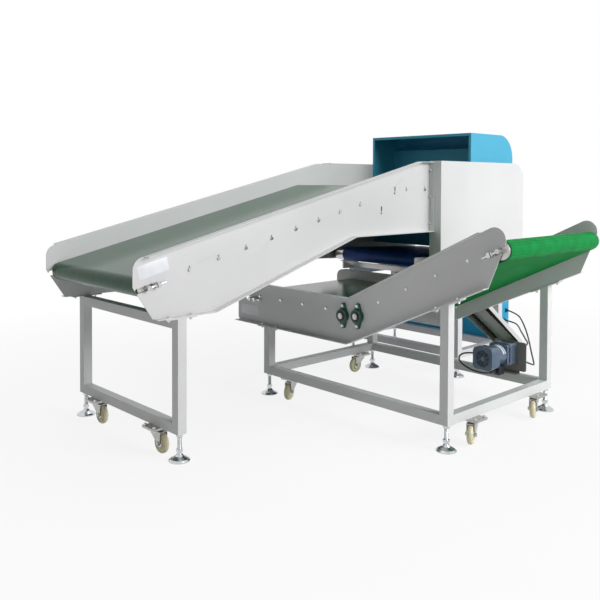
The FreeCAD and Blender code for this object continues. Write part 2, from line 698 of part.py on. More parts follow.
lift_leg_x = (0.0, lift_width - tube)
for x in lift_leg_x:
    add("lift_frame", post(x, lift_left_leg_y - tube, lift_bottom_z - foot_plate))
    add("lift_frame", sloping_post(x, lift_right_leg_y))
    feet += [(x + tube / 2, left_leg_mid), (x + tube / 2, right_leg_mid)]
    add("lift_frame", square_tube(x, x + tube, lift_right_leg_y + tube, lift_left_leg_y - tube,
                                  frame_foot_z, frame_foot_z + tube))
    bolt_x = x + flange / 2 if x == 0 else x + tube - flange / 2
    flat_cap = box(x, x + tube, left_leg_mid - 90.0, left_leg_mid + 90.0, lift_bottom_z - foot_plate, lift_bottom_z)
    for y in leg_bolts_y[:2]:
        flat_cap = flat_cap.cut(rod(V(bolt_x, y, lift_bottom_z - foot_plate), V(0, 0, 1), bolt_r, foot_plate))
    ends = [(right_leg_mid + dy, lift_underside(right_leg_mid + dy)) for dy in (90.0, -90.0)]
    steep_cap = slab(along_lift, strip(ends, foot_plate), x, tube)
    for y in leg_bolts_y[2:]:
        lean = V(0, -lift_under, -1).normalize()
        steep_cap = steep_cap.cut(rod(V(bolt_x, y, lift_underside(y)) - lean, lean, bolt_r, foot_plate + 2.0))
    add("lift_frame", flat_cap, steep_cap)
for y in (lift_left_leg_y - tube, lift_right_leg_y):
    add("lift_frame", square_tube(tube, lift_width - tube, y, y + tube, frame_foot_z, frame_foot_z + tube))

# ---------------------------------------------------------------- chain drive and gear motor

drop = math.radians(drive_drop)
output_y = ribbed_tail_y - drive_centres * pitch * math.cos(drop)
output_z = ribbed_tail_z - drive_centres * pitch * math.sin(drop)


def sprocket(x, y, z, teeth, phase, bore, hub):
    """Chain wheel with one shallow tooth gap per chain roller; phase is the angle of one gap in the YZ plane.
    The teeth end just inside the rollers, so that the wheel can turn within a chain that stands."""
    pitch_r = pitch / (2 * math.sin(math.pi / teeth))
    wide = chain_inner - 0.8
    tip_r = pitch_r - chain_roller_r - tooth_gap
    disc = rod(V(x - wide / 2, y, z), V(1, 0, 0), tip_r, wide)
    disc = disc.fuse(rod(V(x - wide / 2 - hub, y, z), V(1, 0, 0), bore + 9.0, wide + hub))
    cuts = []
    for i in range(teeth):
        a = phase + 2 * math.pi * i / teeth
        reach = tip_r + tooth_out
        cuts.append(rod(V(x - wide, y + reach * math.cos(a), z + reach * math.sin(a)), V(1, 0, 0),
                        tooth_cut_r, 2 * wide))
    cuts.append(rod(V(x - wide - hub, y, z), V(1, 0, 0), bore, 2 * wide + hub))
    return disc.cut(cuts).removeSplitter()


def chain(x, start, heading, teeth, centres):
    """Roller chain round two equal wheels: start is the (y, z) of the first, heading the line to the second."""
    pitch_r = pitch / (2 * math.sin(math.pi / teeth))
    step = 2 * math.pi / teeth
    pins = []
    for end in (0, 1):
        side = heading + math.pi / 2 + end * math.pi
        hub_y = start[0] + end * centres * pitch * math.cos(heading)
        hub_z = start[1] + end * centres * pitch * math.sin(heading)
        for i in range(teeth // 2 + 1):
            a = side + i * step
            pins.append((hub_y + pitch_r * math.cos(a), hub_z + pitch_r * math.sin(a)))
        travel = heading + end * math.pi
        pins += [(pins[-1][0] + k * pitch * math.cos(travel), pins[-1][1] + k * pitch * math.sin(travel))
                 for k in range(1, centres)]
    links = []
    for i, (y, z) in enumerate(pins):
        ny, nz = pins[(i + 1) % len(pins)]
        inner = i % 2 == 0
        near = chain_inner / 2 if inner else chain_inner / 2 + chain_plate + 0.2
        solid = None
        for side in (-1, 1):
            plate = slot_cut(along_lift, (y, z), (ny, nz), chain_plate_h / 2, x + side * near, side * chain_plate)
            solid = plate if solid is None else solid.fuse(plate)
        for py, pz in ((y, z), (ny, nz)):
            radius = chain_roller_r if inner else 2.4
            solid = solid.fuse(rod(V(x - near, py, pz), V(1, 0, 0), radius, 2 * near))
            if inner:
                reach = near + chain_plate
                solid = solid.cut(rod(V(x - reach, py, pz), V(1, 0, 0), 2.5, 2 * reach))
        links.append(solid)
    return links


drive_x = lift_far + drive_chain_x
transfer_x = lift_far + transfer_chain_x
heading = math.atan2(output_z - ribbed_tail_z, output_y - ribbed_tail_y)
transfer_heading = math.atan2(flat_axis_z - ribbed_tail_z, flat_head_y - ribbed_tail_y)
drive_gap = heading + math.pi / 2
transfer_gap = transfer_heading + math.pi / 2
add("ribbed_tail_sprockets",
    sprocket(drive_x, ribbed_tail_y, ribbed_tail_z, drive_teeth, drive_gap, shaft_r, 0.0),
    sprocket(transfer_x, ribbed_tail_y, ribbed_tail_z, transfer_teeth, transfer_gap, shaft_r, 0.0))
add("flat_head_roller",
    sprocket(transfer_x, flat_head_y, flat_axis_z, transfer_teeth, transfer_gap, shaft_r, 0.0))
add("motor_sprocket", sprocket(drive_x, output_y, output_z, drive_teeth, drive_gap, output_shaft_r, 0.0),
    rod(V(motor_plate_x - gear_head_len / 2, output_y, output_z), V(1, 0, 0), output_shaft_r,
        drive_x + 12.0 - motor_plate_x + gear_head_len / 2))
add("drive_chains", *chain(drive_x, (ribbed_tail_y, ribbed_tail_z), heading, drive_teeth, drive_centres))
add("drive_chains", *chain(transfer_x, (ribbed_tail_y, ribbed_tail_z), transfer_heading,
                           transfer_teeth, transfer_centres))


def stadium(p, q, radius, x, depth):
    return slot_cut(along_lift, p, q, radius, x, depth)


def hull(p, q, radius_p, radius_q, x, depth):
    """Plate round two circles of unequal size, its straight edges touching both."""
    circles = [(p[0], p[1], radius_p - gap, 1), (q[0], q[1], radius_q - gap, 1)]
    return Part.Face(belt_wire(circles, 0.0, along_lift, x)).extrude(V(depth, 0, 0))


guard_end_x = guard_start_x + guard_depth
shaft_a, shaft_b, shaft_c = (output_y, output_z), (ribbed_tail_y, ribbed_tail_z), (flat_head_y, flat_axis_z)
small_r = 50.0
guard = hull(shaft_b, shaft_a, guard_big_r, guard_small_r, guard_start_x, guard_depth)
guard = guard.fuse(stadium(shaft_b, shaft_c, small_r, guard_start_x, guard_depth)).removeSplitter()
hollow_depth = guard_depth - thin_sheet
hollow = hull(shaft_b, shaft_a, guard_big_r - thin_sheet, guard_small_r - thin_sheet, guard_start_x, hollow_depth)
hollow = hollow.fuse(stadium(shaft_b, shaft_c, small_r - thin_sheet, guard_start_x, hollow_depth)).removeSplitter()
guard = guard.cut(hollow)
along_guard = V(0, math.cos(heading), math.sin(heading))
across_guard = V(0, math.sin(heading), -math.cos(heading))
guard_spacers = []
for shaft, x, share, aside in ((shaft_b, lift_far, 100.0, 0.0),
                               (shaft_a, motor_plate_x + motor_plate_t, -64.0, -24.0)):
    spot = V(x, shaft[0], shaft[1]) + along_guard * share + across_guard * aside
    guard_spacers.append(rod(spot, V(1, 0, 0), 6.0, guard_end_x - thin_sheet - x))
add("chain_guard", guard, *guard_spacers)

motor_axis_y = output_y - 6.0
motor_axis_z = output_z - output_rise
rail_top = frame_foot_z + tube
plate_far_y = motor_plate_y - motor_plate_w
motor_plate = slab(along_lift, [(plate_far_y, motor_plate_low_z, 14.0), (motor_plate_y, motor_plate_low_z, 14.0),
                                (motor_plate_y, motor_plate_top_z, 14.0), (plate_far_y, motor_plate_top_z, 14.0)],
                   motor_plate_x, motor_plate_t)
foot_from, foot_to = plate_far_y + 40.0, motor_plate_y - 40.0
foot = box(motor_plate_x - 40.0, motor_plate_x, foot_from, foot_to, rail_top, rail_top + motor_plate_t)
upstand = box(motor_plate_x - motor_plate_t, motor_plate_x, foot_from, foot_to, rail_top, rail_top + 56.0)
motor_plate = motor_plate.fuse([foot, upstand]).removeSplitter()
motor_plate = motor_plate.cut(rod(V(motor_plate_x, output_y, output_z), V(1, 0, 0), 20.0, motor_plate_t))
half = motor_square / 2
corner = half - 13.0
corners_yz = [(motor_axis_y + sy * corner, motor_axis_z + sz * corner) for sy in (-1, 1) for sz in (-1, 1)]
for y, z in corners_yz:
    motor_plate = motor_plate.cut(rod(V(motor_plate_x, y, z), V(1, 0, 0), bolt_r, motor_plate_t))
add("motor_plate", motor_plate)


def rounded_block(x0, x1, half_size, radius):
    """Square block round the motor's axis with its long edges rounded."""
    y, z, h = motor_axis_y, motor_axis_z, half_size
    square = [(y - h, z - h, radius), (y + h, z - h, radius), (y + h, z + h, radius), (y - h, z + h, radius)]
    return slab(along_lift, square, x0, x1 - x0)


head_x = motor_plate_x - gear_head_len
gear_head = rounded_block(head_x, motor_plate_x, half - 8.0, 10.0)
gear_flange = rounded_block(head_x - 10.0, head_x, half, 14.0)
gear_head = gear_head.fuse(gear_flange)
bolt_start = head_x - 10.0
ears = [rod(V(bolt_start, y, z), V(1, 0, 0), 11.0, gear_head_len + 10.0) for y, z in corners_yz]
gear_head = gear_head.fuse(ears)
gear_head = gear_head.cut([rod(V(bolt_start, y, z), V(1, 0, 0), bolt_r, gear_head_len + 10.0)
                           for y, z in corners_yz])
gear_head = gear_head.cut(rod(V(motor_plate_x - gear_head_len / 2 - 1.0, output_y, output_z), V(1, 0, 0),
                              output_shaft_r + shaft_fit, gear_head_len))
add("gear_head", gear_head.removeSplitter())
body_end = head_x - 10.0
body_start = body_end - motor_len
motor = rod(V(body_start, motor_axis_y, motor_axis_z), V(1, 0, 0), half - 6.0, motor_len)
motor = motor.fuse(rounded_block(body_start, body_start + 40.0, half - 3.0, 22.0))
motor = motor.fuse(rounded_block(body_end - 30.0, body_end - 11.0, half - 3.0, 14.0))
add("gear_motor", motor.removeSplitter())
cowl = rounded_block(body_start - cowl_len, body_start, half, 26.0)
cowl = cowl.cut(rod(V(body_start - cowl_len, motor_axis_y, motor_axis_z), V(1, 0, 0), half - 16.0, cowl_len - 8.0))
add("gear_motor", cowl)
for y, z in corners_yz:
    bolts.append(bolt(V(bolt_start, y, z), V(1, 0, 0), gear_head_len + 10.0 + motor_plate_t + 10.0))
    bolts.append(nut(V(motor_plate_x + motor_plate_t, y, z), V(1, 0, 0), bolt_head_flats, 7.0, bolt_r))
box_x = body_end - 62.0
box_y = motor_axis_y
box_top = motor_axis_z - half + 3.0
box_len = 58.0
box_half = 27.0
box_h = 56.0
terminal = box(box_x, box_x + box_len, box_y - box_half, box_y + box_half, box_top - box_h, box_top)
neck = box(box_x + 7.0, box_x + box_len - 7.0, box_y - box_half + 7.0, box_y + box_half - 7.0,
           box_top, box_top + 24.0)
terminal = terminal.fuse(neck).removeSplitter().cut(motor)
gland_z = box_top - 35.0
gland_len = 50.0
gland = rod(V(box_x, box_y, gland_z), V(-1, 0, 0), 13.0, 16.0)
gland = gland.fuse(Part.makeCone(12.0, cord_r + 2.5, gland_len - 16.0, V(box_x - 16.0, box_y, gland_z), V(-1, 0, 0)))
add("terminal_box", terminal)
add("cable_glands", gland.removeSplitter())

# ---------------------------------------------------------------- detector head


def cover(side):
    """White side cover: a deep folded box, open below, with its top rear corner rounded."""
    outer = [(head_front_x, cover_low_z), (head_rear_x, cover_low_z), (head_rear_x, cover_top_z, cover_round),
             (head_front_x, cover_top_z)]
    t = thin_sheet
    inside = [(head_front_x + t, cover_low_z - 1.0), (head_rear_x - t, cover_low_z - 1.0),
              (head_rear_x - t, cover_top_z - t, cover_round - t), (head_front_x + t, cover_top_z - t)]
    inner_y = side * infeed_half
    solid = slab(along_infeed, outer, inner_y, side * cover_depth)
    solid = solid.cut(slab(along_infeed, inside, inner_y + side * t, side * (cover_depth - 2 * t)))
    shaft = rod(V(head_drum_x, inner_y, head_drum_z), V(0, side, 0), shaft_r, 2 * t)
    holes = [shaft]
    for z in lip_bolts:
        holes.append(rod(V(head_front_x, side * (infeed_half + flange * 0.4), z), V(1, 0, 0), bolt_r, t))
    return solid.cut(holes)


add("head_cover_near", cover(-1))
add("head_cover_far", cover(1))

t = thin_sheet
hood_half = infeed_half


def hood_profile(inset):
    return [(hood_front_x, hood_low_z), (head_rear_x - inset, hood_low_z),
            (head_rear_x - inset, hood_top_z - inset, hood_round - inset), (hood_front_x, hood_top_z - inset)]


hood = slab(along_infeed, hood_profile(0.0), -hood_half, 2 * hood_half)
hood = hood.cut(slab(along_infeed, hood_profile(t), -hood_half + t, 2 * (hood_half - t)))
rim_outer = box(hood_front_x, hood_front_x + t, -hood_half, hood_half, hood_low_z, hood_top_z)
rim_inner = box(hood_front_x - 1, hood_front_x + t + 1, -hood_half + hood_rim, hood_half - hood_rim,
                hood_low_z - 1, hood_top_z - hood_rim)
add("hood", hood.fuse(rim_outer.cut(rim_inner)).removeSplitter())
baffle = [(baffle_x, deck_z + 18.0), (baffle_x, baffle_top_z), (baffle_x + 60.0, baffle_top_z + 26.0)]
add("hood", slab(along_infeed, strip(baffle, -t), -hood_half + t, 2 * (hood_half - t)))

# lower casing round the chute, a closed box with a rectangular shaft through it
case_half = infeed_half - 12.0
case = box(case_front_x, case_rear_x, -case_half, case_half, case_low_z, case_top_z)
case = case.cut(box(chute_front_x, chute_rear_x, -chute_half, chute_half, case_low_z, case_top_z))
case_wall = 12.0
coil_room = box(case_front_x + case_wall, case_rear_x - case_wall, -case_half + case_wall, case_half - case_wall,
                case_low_z + case_wall, case_top_z - case_wall)
coil_room = coil_room.cut(box(chute_front_x - case_wall, chute_rear_x + case_wall, -chute_half - case_wall,
                              chute_half + case_wall, case_low_z, case_top_z))
add("coil_case", case.cut(coil_room))
coil_z = (case_low_z + case_top_z) / 2
coil_gap = 2.0
coil = box(chute_front_x - case_wall - 22.0, chute_rear_x + case_wall + 22.0, -chute_half - case_wall - 22.0,
           chute_half + case_wall + 22.0, coil_z - 30.0, coil_z + 30.0)
coil = coil.cut(box(chute_front_x - case_wall, chute_rear_x + case_wall, -chute_half - case_wall,
                    chute_half + case_wall, coil_z - 30.0, coil_z + 30.0))
add("detector_coil", coil)
liner_wall = 4.0
liner = box(chute_front_x, chute_rear_x, -chute_half, chute_half, case_low_z, case_top_z + 30.0)
liner = liner.cut(box(chute_front_x + liner_wall, chute_rear_x - liner_wall, -chute_half + liner_wall,
                      chute_half - liner_wall, case_low_z, case_top_z + 30.0))
add("coil_case", liner)

# sloping sheets that lead from the full width of the tunnel into the chute
funnel = strip([(infeed_half - sheet, deck_z), (chute_half, case_top_z + 30.0)], t)
for side in (-1, 1):
    sheet_line = [(side * y, z) for y, z in funnel]
    add("coil_case", slab(along_lift, sheet_line, chute_front_x, chute_rear_x - chute_front_x))

# base of the head
base_x = (head_post_1_x, head_post_2_x)
post_top = cover_top_z - 60.0
for x in base_x:
    for side in (-1, 1):
        y = -head_half if side < 0 else head_half - tube
        add("head_frame", post(x, y, post_top))
        feet.append((x + tube / 2, y + tube / 2))
    for z in (frame_foot_z, 330.0):
        add("head_frame", square_tube(x, x + tube, -head_half + tube, head_half - tube, z, z + tube))
for y in (-head_half, head_half - tube):
    for z in (frame_foot_z, 620.0):
        add("head_frame", square_tube(base_x[0] + tube, base_x[1], y, y + tube, z, z + tube))

# blocks that carry the casing between the covers
for x in (case_front_x + 20.0, case_rear_x - 70.0):
    for side in (-1, 1):
        y0, y1 = sorted((side * case_half, side * infeed_half))
        add("head_frame", box(x, x + tube, y0, y1, case_low_z + 40.0, case_low_z + 90.0))

cabinet_x = head_post_2_x + tube
cabinet = box(cabinet_x, cabinet_x + cabinet_depth, -head_half, head_half, frame_foot_z, cabinet_top_z)
cabinet = cabinet.cut(box(cabinet_x + t, cabinet_x + cabinet_depth - t, -head_half + t, head_half - t,
                          frame_foot_z + t, cabinet_top_z - t))
gland_spots = ((cabinet_x + 50.0, 392.0), (cabinet_x + 24.0, 322.0))
gland_reach = 20.0
cabinet_glands = []
for gland_x, z in gland_spots:
    cabinet = cabinet.cut(rod(V(gland_x, -head_half, z), V(0, 1, 0), 10.0, t))
    piece = rod(V(gland_x, -head_half + 12.0, z), V(0, -1, 0), 10.0, 12.0)
    piece = piece.fuse(hexagon(V(gland_x, -head_half, z), V(0, -1, 0), 26.0, 9.0))
    piece = piece.fuse(Part.makeCone(12.0, cord_r + 2.5, gland_reach - 9.0, V(gland_x, -head_half - 9.0, z),
                                     V(0, -1, 0)))
    cabinet_glands.append(piece.removeSplitter())
add("control_cabinet", cabinet)
add("cable_glands", *cabinet_glands)

# ---------------------------------------------------------------- reversing conveyor

reverser_slope = math.atan2(reverser_fall, reverser_rear_x - reverser_front_x)


def reverser_z(x):
    """Line through the axes of the reversing conveyor's rollers."""
    return reverser_front_z - math.tan(reverser_slope) * (x - reverser_front_x)


reverser_ends = [(x, reverser_z(x)) for x in (reverser_front_x, reverser_rear_x)]
reverser_wheels = [(x, z, end_roller_r, 1) for x, z in reverser_ends]
add("reversing_belt", belt_loop(reverser_wheels, along_infeed, -reverser_belt_half, reverser_belt_half))
half_h = reverser_plate_h / 2
reverser_plate_end = head_rear_x - 20.0
reverser_inner = reverser_plate_half - sheet
bracket_x = (reverser_front_x + 60.0, reverser_front_x + 180.0)
for side in (-1, 1):
    face = side * reverser_plate_half
    plate = slab(along_infeed, [(reverser_plate_x, reverser_z(reverser_plate_x) - half_h, 8.0),
                                (reverser_plate_end, reverser_z(reverser_plate_end) - half_h),
                                (reverser_plate_end, reverser_z(reverser_plate_end) + half_h),
                                (reverser_plate_x, reverser_z(reverser_plate_x) + half_h, 8.0)],
                 face, -side * sheet)
    for x, z in reverser_ends:
        plate = plate.cut(rod(V(x, face, z), V(0, -side, 0), shaft_r, sheet))
    add("reversing_frame", plate)
    y0, y1 = sorted((face, side * infeed_half))
    for x in base_x:
        z = reverser_z(x + tube / 2)
        add("reversing_frame", box(x, x + tube, y0, y1, z - 20.0, z + 20.0))
    bracket = [(bracket_x[0], reverser_z(bracket_x[0]) - half_h - 80.0),
               (bracket_x[1], reverser_z(bracket_x[1]) - half_h - 80.0),
               (bracket_x[1], reverser_z(bracket_x[1]) - half_h), (bracket_x[0], reverser_z(bracket_x[0]) - half_h)]
    add("reversing_frame", slab(along_infeed, bracket, side * reverser_inner, side * (infeed_half - reverser_inner)))
reverser_top = (end_roller_r + skin) / math.cos(reverser_slope)
bed_line = [(x, reverser_z(x) + reverser_top) for x in (reverser_front_x + bed_clear, reverser_rear_x - bed_clear)]
add("reversing_frame", bed(bed_line, along_infeed, -reverser_inner, reverser_inner))
slide_z = reverser_front_z - end_roller_r - skin - 7.0
slide = [(reverser_front_x + 20.0, slide_z), (reverser_front_x + 170.0, slide_z - 58.0)]
add("reversing_frame", slab(along_infeed, strip(slide, -t), -reverser_inner, 2 * reverser_inner))
for name, (x, z) in zip(("reversing_front_roller", "reversing_rear_roller"), reverser_ends):
    add(name, roller_shell(along_infeed, x, z, end_roller_r, -reverser_shell_half, reverser_shell_half))
    dead_shaft(along_infeed, x, z, -reverser_plate_half, reverser_plate_half)

# ---------------------------------------------------------------- feet and castors


def levelling_foot(x, y):
    """Domed steel pad, threaded stud, adjusting nut above the pad and jam nut under the post."""
    profile = [V(0, 0, 0), V(pad_r, 0, 0), V(pad_r, 0, 5), V(pad_r - 8, 0, 12), V(22, 0, 24), V(14, 0, 34),
               V(0, 0, 34), V(0, 0, 0)]
    pad = Part.Face(Part.makePolygon(profile)).revolve(V(0, 0, 0), V(0, 0, 1), 360)
    pad.translate(V(x, y, 0))
    add("levelling_feet", pad)
    stud = rod(V(x, y, 34.0), V(0, 0, 1), stud_r, frame_foot_z + 20.0 - 34.0)
    add("levelling_feet", stud)
    for z in (44.0, frame_foot_z - 14.0):
        add("levelling_feet", nut(V(x, y, z), V(0, 0, 1), nut_flats, 14.0, stud_r))


for x, y in feet:
    levelling_foot(x, y)

wheel_top = castor_lift + 2 * castor_wheel_r
crown_low = wheel_top + 1.0
web = 3.0
race_low = crown_low + web + gap
crown_top = race_low + 6.0
plate_bottom = crown_top + gap
pad_bottom = plate_bottom + castor_plate_t


def castor(number, x, y, heading_deg, away):
    """Swivel castor: fixed plate with its race, fork that swivels, wheel on its axle. The wheel trails behind
    the swivel along heading. away is the side on which the plate stands clear of its rail, where nuts fit."""
    edge = castor_plate_w / 2
    plate = box(-edge, edge, -edge, edge, plate_bottom, pad_bottom)
    race = ring(V(0, 0, race_low), V(0, 0, 1), 34.0, 28.0 + gap, plate_bottom - race_low)
    pin = rod(V(0, 0, crown_low + web), V(0, 0, 1), castor_axle_r, plate_bottom - crown_low - web)
    plate = plate.fuse([race, pin])
    weld_pad = box(-edge, edge, -edge, edge, pad_bottom, frame_foot_z)
    hardware = []
    for dx in (-castor_bolts / 2, castor_bolts / 2):
        for dy in (-castor_bolts / 2, castor_bolts / 2):
            spot = V(dx, dy, plate_bottom)
            hole = rod(spot, V(0, 0, 1), bolt_r, frame_foot_z - plate_bottom)
            plate = plate.cut(hole)
            weld_pad = weld_pad.cut(hole)
            clear = dx * away[0] + dy * away[1] > 0
            grip = frame_foot_z - plate_bottom + (11.0 if clear else 0.0)
            hardware.append(bolt(spot, V(0, 0, 1), grip, 0.0, 4.5))
            if clear:
                hardware.append(nut(V(dx, dy, frame_foot_z), V(0, 0, 1), bolt_head_flats, 8.0, bolt_r))
    fork_w = castor_wheel_w / 2 + 3.0
    leg = 3.0
    axle_z = castor_lift + castor_wheel_r
    crown = rod(V(0, 0, crown_low), V(0, 0, 1), 28.0, crown_top - crown_low)
    top = box(-26.0, castor_trail + 16.0, -fork_w - leg, fork_w + leg, crown_low, crown_low + web)
    fork = crown.fuse(top)
    for side in (-1, 1):
        cheek = [(-26.0, crown_low + web), (castor_trail + 16.0, crown_low + web), (castor_trail + 14.0, axle_z),
                 (castor_trail, axle_z - 15.0), (castor_trail - 13.0, axle_z), (-18.0, crown_low - 14.0)]
        fork = fork.fuse(slab(along_infeed, cheek, side * fork_w, side * leg))
    fork = fork.cut(rod(V(0, 0, crown_low), V(0, 0, 1), castor_axle_r + shaft_fit, crown_top - crown_low))
    axle = rod(V(castor_trail, -fork_w - leg, axle_z), V(0, 1, 0), castor_axle_r, 2 * (fork_w + leg))
    ends = [hexagon(V(castor_trail, side * (fork_w + leg), axle_z), V(0, side, 0), 17.0, 7.0) for side in (-1, 1)]
    fork = fork.fuse([axle] + ends).removeSplitter()
    half_w = castor_wheel_w / 2
    r = castor_wheel_r
    tread = [V(0, -half_w, 0), V(0, -half_w, 24.0), V(0, -half_w + 4, 26.0), V(0, -half_w + 3, r - 16.0)]
    tread += [V(0, half_w * across, r - drop_in) for across, drop_in in ((-0.94, 12.0), (-0.8, 5.5), (-0.45, 1.2),
                                                                        (0.0, 0.0), (0.45, 1.2), (0.8, 5.5),
                                                                        (0.94, 12.0))]
    tread += [V(0, half_w - 3, r - 16.0), V(0, half_w - 4, 26.0), V(0, half_w, 24.0), V(0, half_w, 0), tread[0]]
    wheel = Part.Face(Part.makePolygon(tread)).revolve(V(0, 0, 0), V(0, 1, 0), 360)
    wheel = wheel.cut(rod(V(0, -half_w, 0), V(0, 1, 0), castor_axle_r + shaft_fit, castor_wheel_w))
    wheel.translate(V(castor_trail, 0, axle_z))
    for shape in (fork, wheel):
        shape.rotate(V(0, 0, 0), V(0, 0, 1), heading_deg)
    for shape in [plate, weld_pad, fork, wheel] + hardware:
        shape.translate(V(x, y, 0))
    add("castor_plates", plate, weld_pad)
    bolts.extend(hardware)
    add("castor_fork_%d" % number, fork)
    add("castor_wheel_%d" % number, wheel)


castor_out = 21.0            # the plates stand out from under their rails
stand_castor_x = stand_x + tube / 2 - castor_out + 6.0
right_castor_y = right_leg_mid - castor_out
left_castor_y = left_leg_mid - castor_out
far_castor_x = lift_width - 183.0
castors = [(stand_castor_x, -295.0, -90.0, (-1, 0)), (stand_castor_x, 305.0, -90.0, (-1, 0)),
           (228.0, right_castor_y, 202.0, (0, -1)), (far_castor_x, right_castor_y, 202.0, (0, -1)),
           (tube / 2 + 37.0, -95.0, 202.0, (1, 0)), (far_castor_x + 3.0, left_castor_y, 180.0, (0, -1))]
for number, (x, y, turned, away) in enumerate(castors, 1):
    castor(number, x, y, turned, away)

add("cross_members", *members)
add("roller_shafts", *shafts)
add("takeups", *takeups)
add("hex_bolts", *bolts)

# ---------------------------------------------------------------- cords


def cord(name, points):
    """Round cable: straight runs joined by tangent arcs. Prints its length and the radius of each bend."""
    path = [V(*p) for p in points]
    edges = []
    radii = []
    start = path[0]
    for before, here, after in zip(path, path[1:], path[2:]):
        turn = (here - before).getAngle(after - here)
        radius = 0.45 * min((here - before).Length, (after - here).Length) / math.tan(turn / 2)
        arc_start, middle, arc_end = rounded(before, here, after, radius)
        edges.append(Part.LineSegment(start, arc_start).toShape())
        edges.append(Part.Arc(arc_start, middle, arc_end).toShape())
        radii.append(radius)
        start = arc_end
    edges.append(Part.LineSegment(start, path[-1]).toShape())
    wire = Part.Wire(edges)
    profile = Part.Face(Part.Wire(Part.makeCircle(cord_r, path[0], path[1] - path[0])))
    tube_solid = wire.makePipe(profile)
    print(name, "length %.0f" % wire.Length, "radii", [round(r) for r in radii],
          "fill %.4f" % (tube_solid.Volume / (math.pi * cord_r ** 2 * wire.Length)))
    add(name, tube_solid)
    parts["cable_glands"] = [piece.cut(tube_solid) for piece in parts["cable_glands"]]


upper_gland, lower_gland = [V(x, -head_half - gland_reach, z) for x, z in gland_spots]
plate_back_x = motor_plate_x + motor_plate_t
grommet_len = 8.0
upper_end = V(plate_back_x + grommet_len, -1118.0, 258.0)
lower_end = V(plate_back_x + grommet_len, -1117.0, 340.0)
lead_end = V(motor_plate_x - grommet_len, motor_plate_y - 12.0, 262.0)
for spot, out in ((upper_end, 1), (lower_end, 1), (lead_end, -1)):
    base = spot - V(out * grommet_len, 0, 0)
    add("cable_glands", ring(base, V(out, 0, 0), 9.0, cord_r, grommet_len))
cord("cabinet_cable_upper", [tuple(upper_gland), (1806, -617, 379), (1742, -690, 344), (1668, -762, 300),
                             (1584, -830, 259), (1494, -893, 230), (1400, -956, 212), (1304, -1021, 196),
                             (1209, -1080, 195), (1110, -1117, 222), tuple(upper_end)])
cord("cabinet_cable_lower", [tuple(lower_gland), (1788, -604, 318), (1716, -676, 310), (1622, -742, 309),
                             (1530, -806, 313), (1430, -876, 320), (1328, -944, 328), (1228, -1012, 336),
                             (1130, -1084, 341), tuple(lower_end)])
cord("motor_lead", [(box_x - gland_len, box_y, gland_z), (760, -1016, 209), (722, -972, 219), (712, -915, 236),
                    (727, -860, 254), (766, -823, 272), (820, -812, 283), (872, -832, 284), (912, -870, 276),
                    (942, -910, 266), tuple(lead_end)])

# ---------------------------------------------------------------- export

nose_y = ribbed_head_y - end_roller_r - skin
origin = V((infeed_front_x + head_rear_x) / 2, (nose_y + infeed_half + cover_depth) / 2, 0)
os.makedirs("parts", exist_ok=True)
for name, solids in parts.items():
    shape = solids[0] if len(solids) == 1 else Part.makeCompound(solids)
    shape.translate(-origin)
    shape.exportStep("parts/%s.step" % name)
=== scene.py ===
# %% [markdown]
# # Dressing a conveyor metal detector
#
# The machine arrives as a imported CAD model: two belt conveyors on square-tube stands, a detector head round a
# chute, a short reversing belt and a chain drive. Its solids are right, so they keep their shape here.
# It gives every part the finish that it has in the workshop, adds the small things that a solid model leaves
# out, such as belt ribs, a fan grille and screw threads, and sets up a camera and soft lamps.

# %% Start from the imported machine
import json
import math

import bmesh
import bpy
from mathutils import Matrix, Vector


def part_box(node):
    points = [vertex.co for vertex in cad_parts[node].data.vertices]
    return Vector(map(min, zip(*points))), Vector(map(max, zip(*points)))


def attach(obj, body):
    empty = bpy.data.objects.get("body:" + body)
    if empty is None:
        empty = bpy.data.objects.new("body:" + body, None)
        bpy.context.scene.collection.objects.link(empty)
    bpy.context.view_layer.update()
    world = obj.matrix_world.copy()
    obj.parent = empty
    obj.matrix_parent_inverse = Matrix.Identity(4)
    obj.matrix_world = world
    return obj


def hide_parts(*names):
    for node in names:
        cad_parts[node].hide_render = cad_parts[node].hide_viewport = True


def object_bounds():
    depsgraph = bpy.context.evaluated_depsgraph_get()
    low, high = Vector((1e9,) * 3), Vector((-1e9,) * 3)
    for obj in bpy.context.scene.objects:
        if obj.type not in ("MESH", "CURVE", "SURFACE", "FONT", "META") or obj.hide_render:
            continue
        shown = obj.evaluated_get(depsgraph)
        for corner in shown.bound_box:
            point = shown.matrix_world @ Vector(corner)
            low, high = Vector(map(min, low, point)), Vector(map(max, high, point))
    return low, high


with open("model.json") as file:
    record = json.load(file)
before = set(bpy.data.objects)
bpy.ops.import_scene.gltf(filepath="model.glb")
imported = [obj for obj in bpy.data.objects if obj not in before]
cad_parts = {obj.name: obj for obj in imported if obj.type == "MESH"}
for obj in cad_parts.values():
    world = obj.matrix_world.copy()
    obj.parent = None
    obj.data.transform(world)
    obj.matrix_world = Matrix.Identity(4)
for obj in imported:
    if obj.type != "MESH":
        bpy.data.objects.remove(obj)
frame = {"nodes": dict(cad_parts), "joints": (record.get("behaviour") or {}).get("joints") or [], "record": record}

cad_low, cad_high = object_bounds()
print("machine size in metres:", [round(side, 3) for side in cad_high - cad_low])

# %% [markdown]
# ## The camera
#
# A camera could be aimed with a tracking constraint, but a lens shift changes what a constraint thinks is the
# middle. Three plain turns are easier to read: heading round the floor, tilt down, and a touch of roll. The
# lens is a mild telephoto, so that the long infeed isn't stretched.

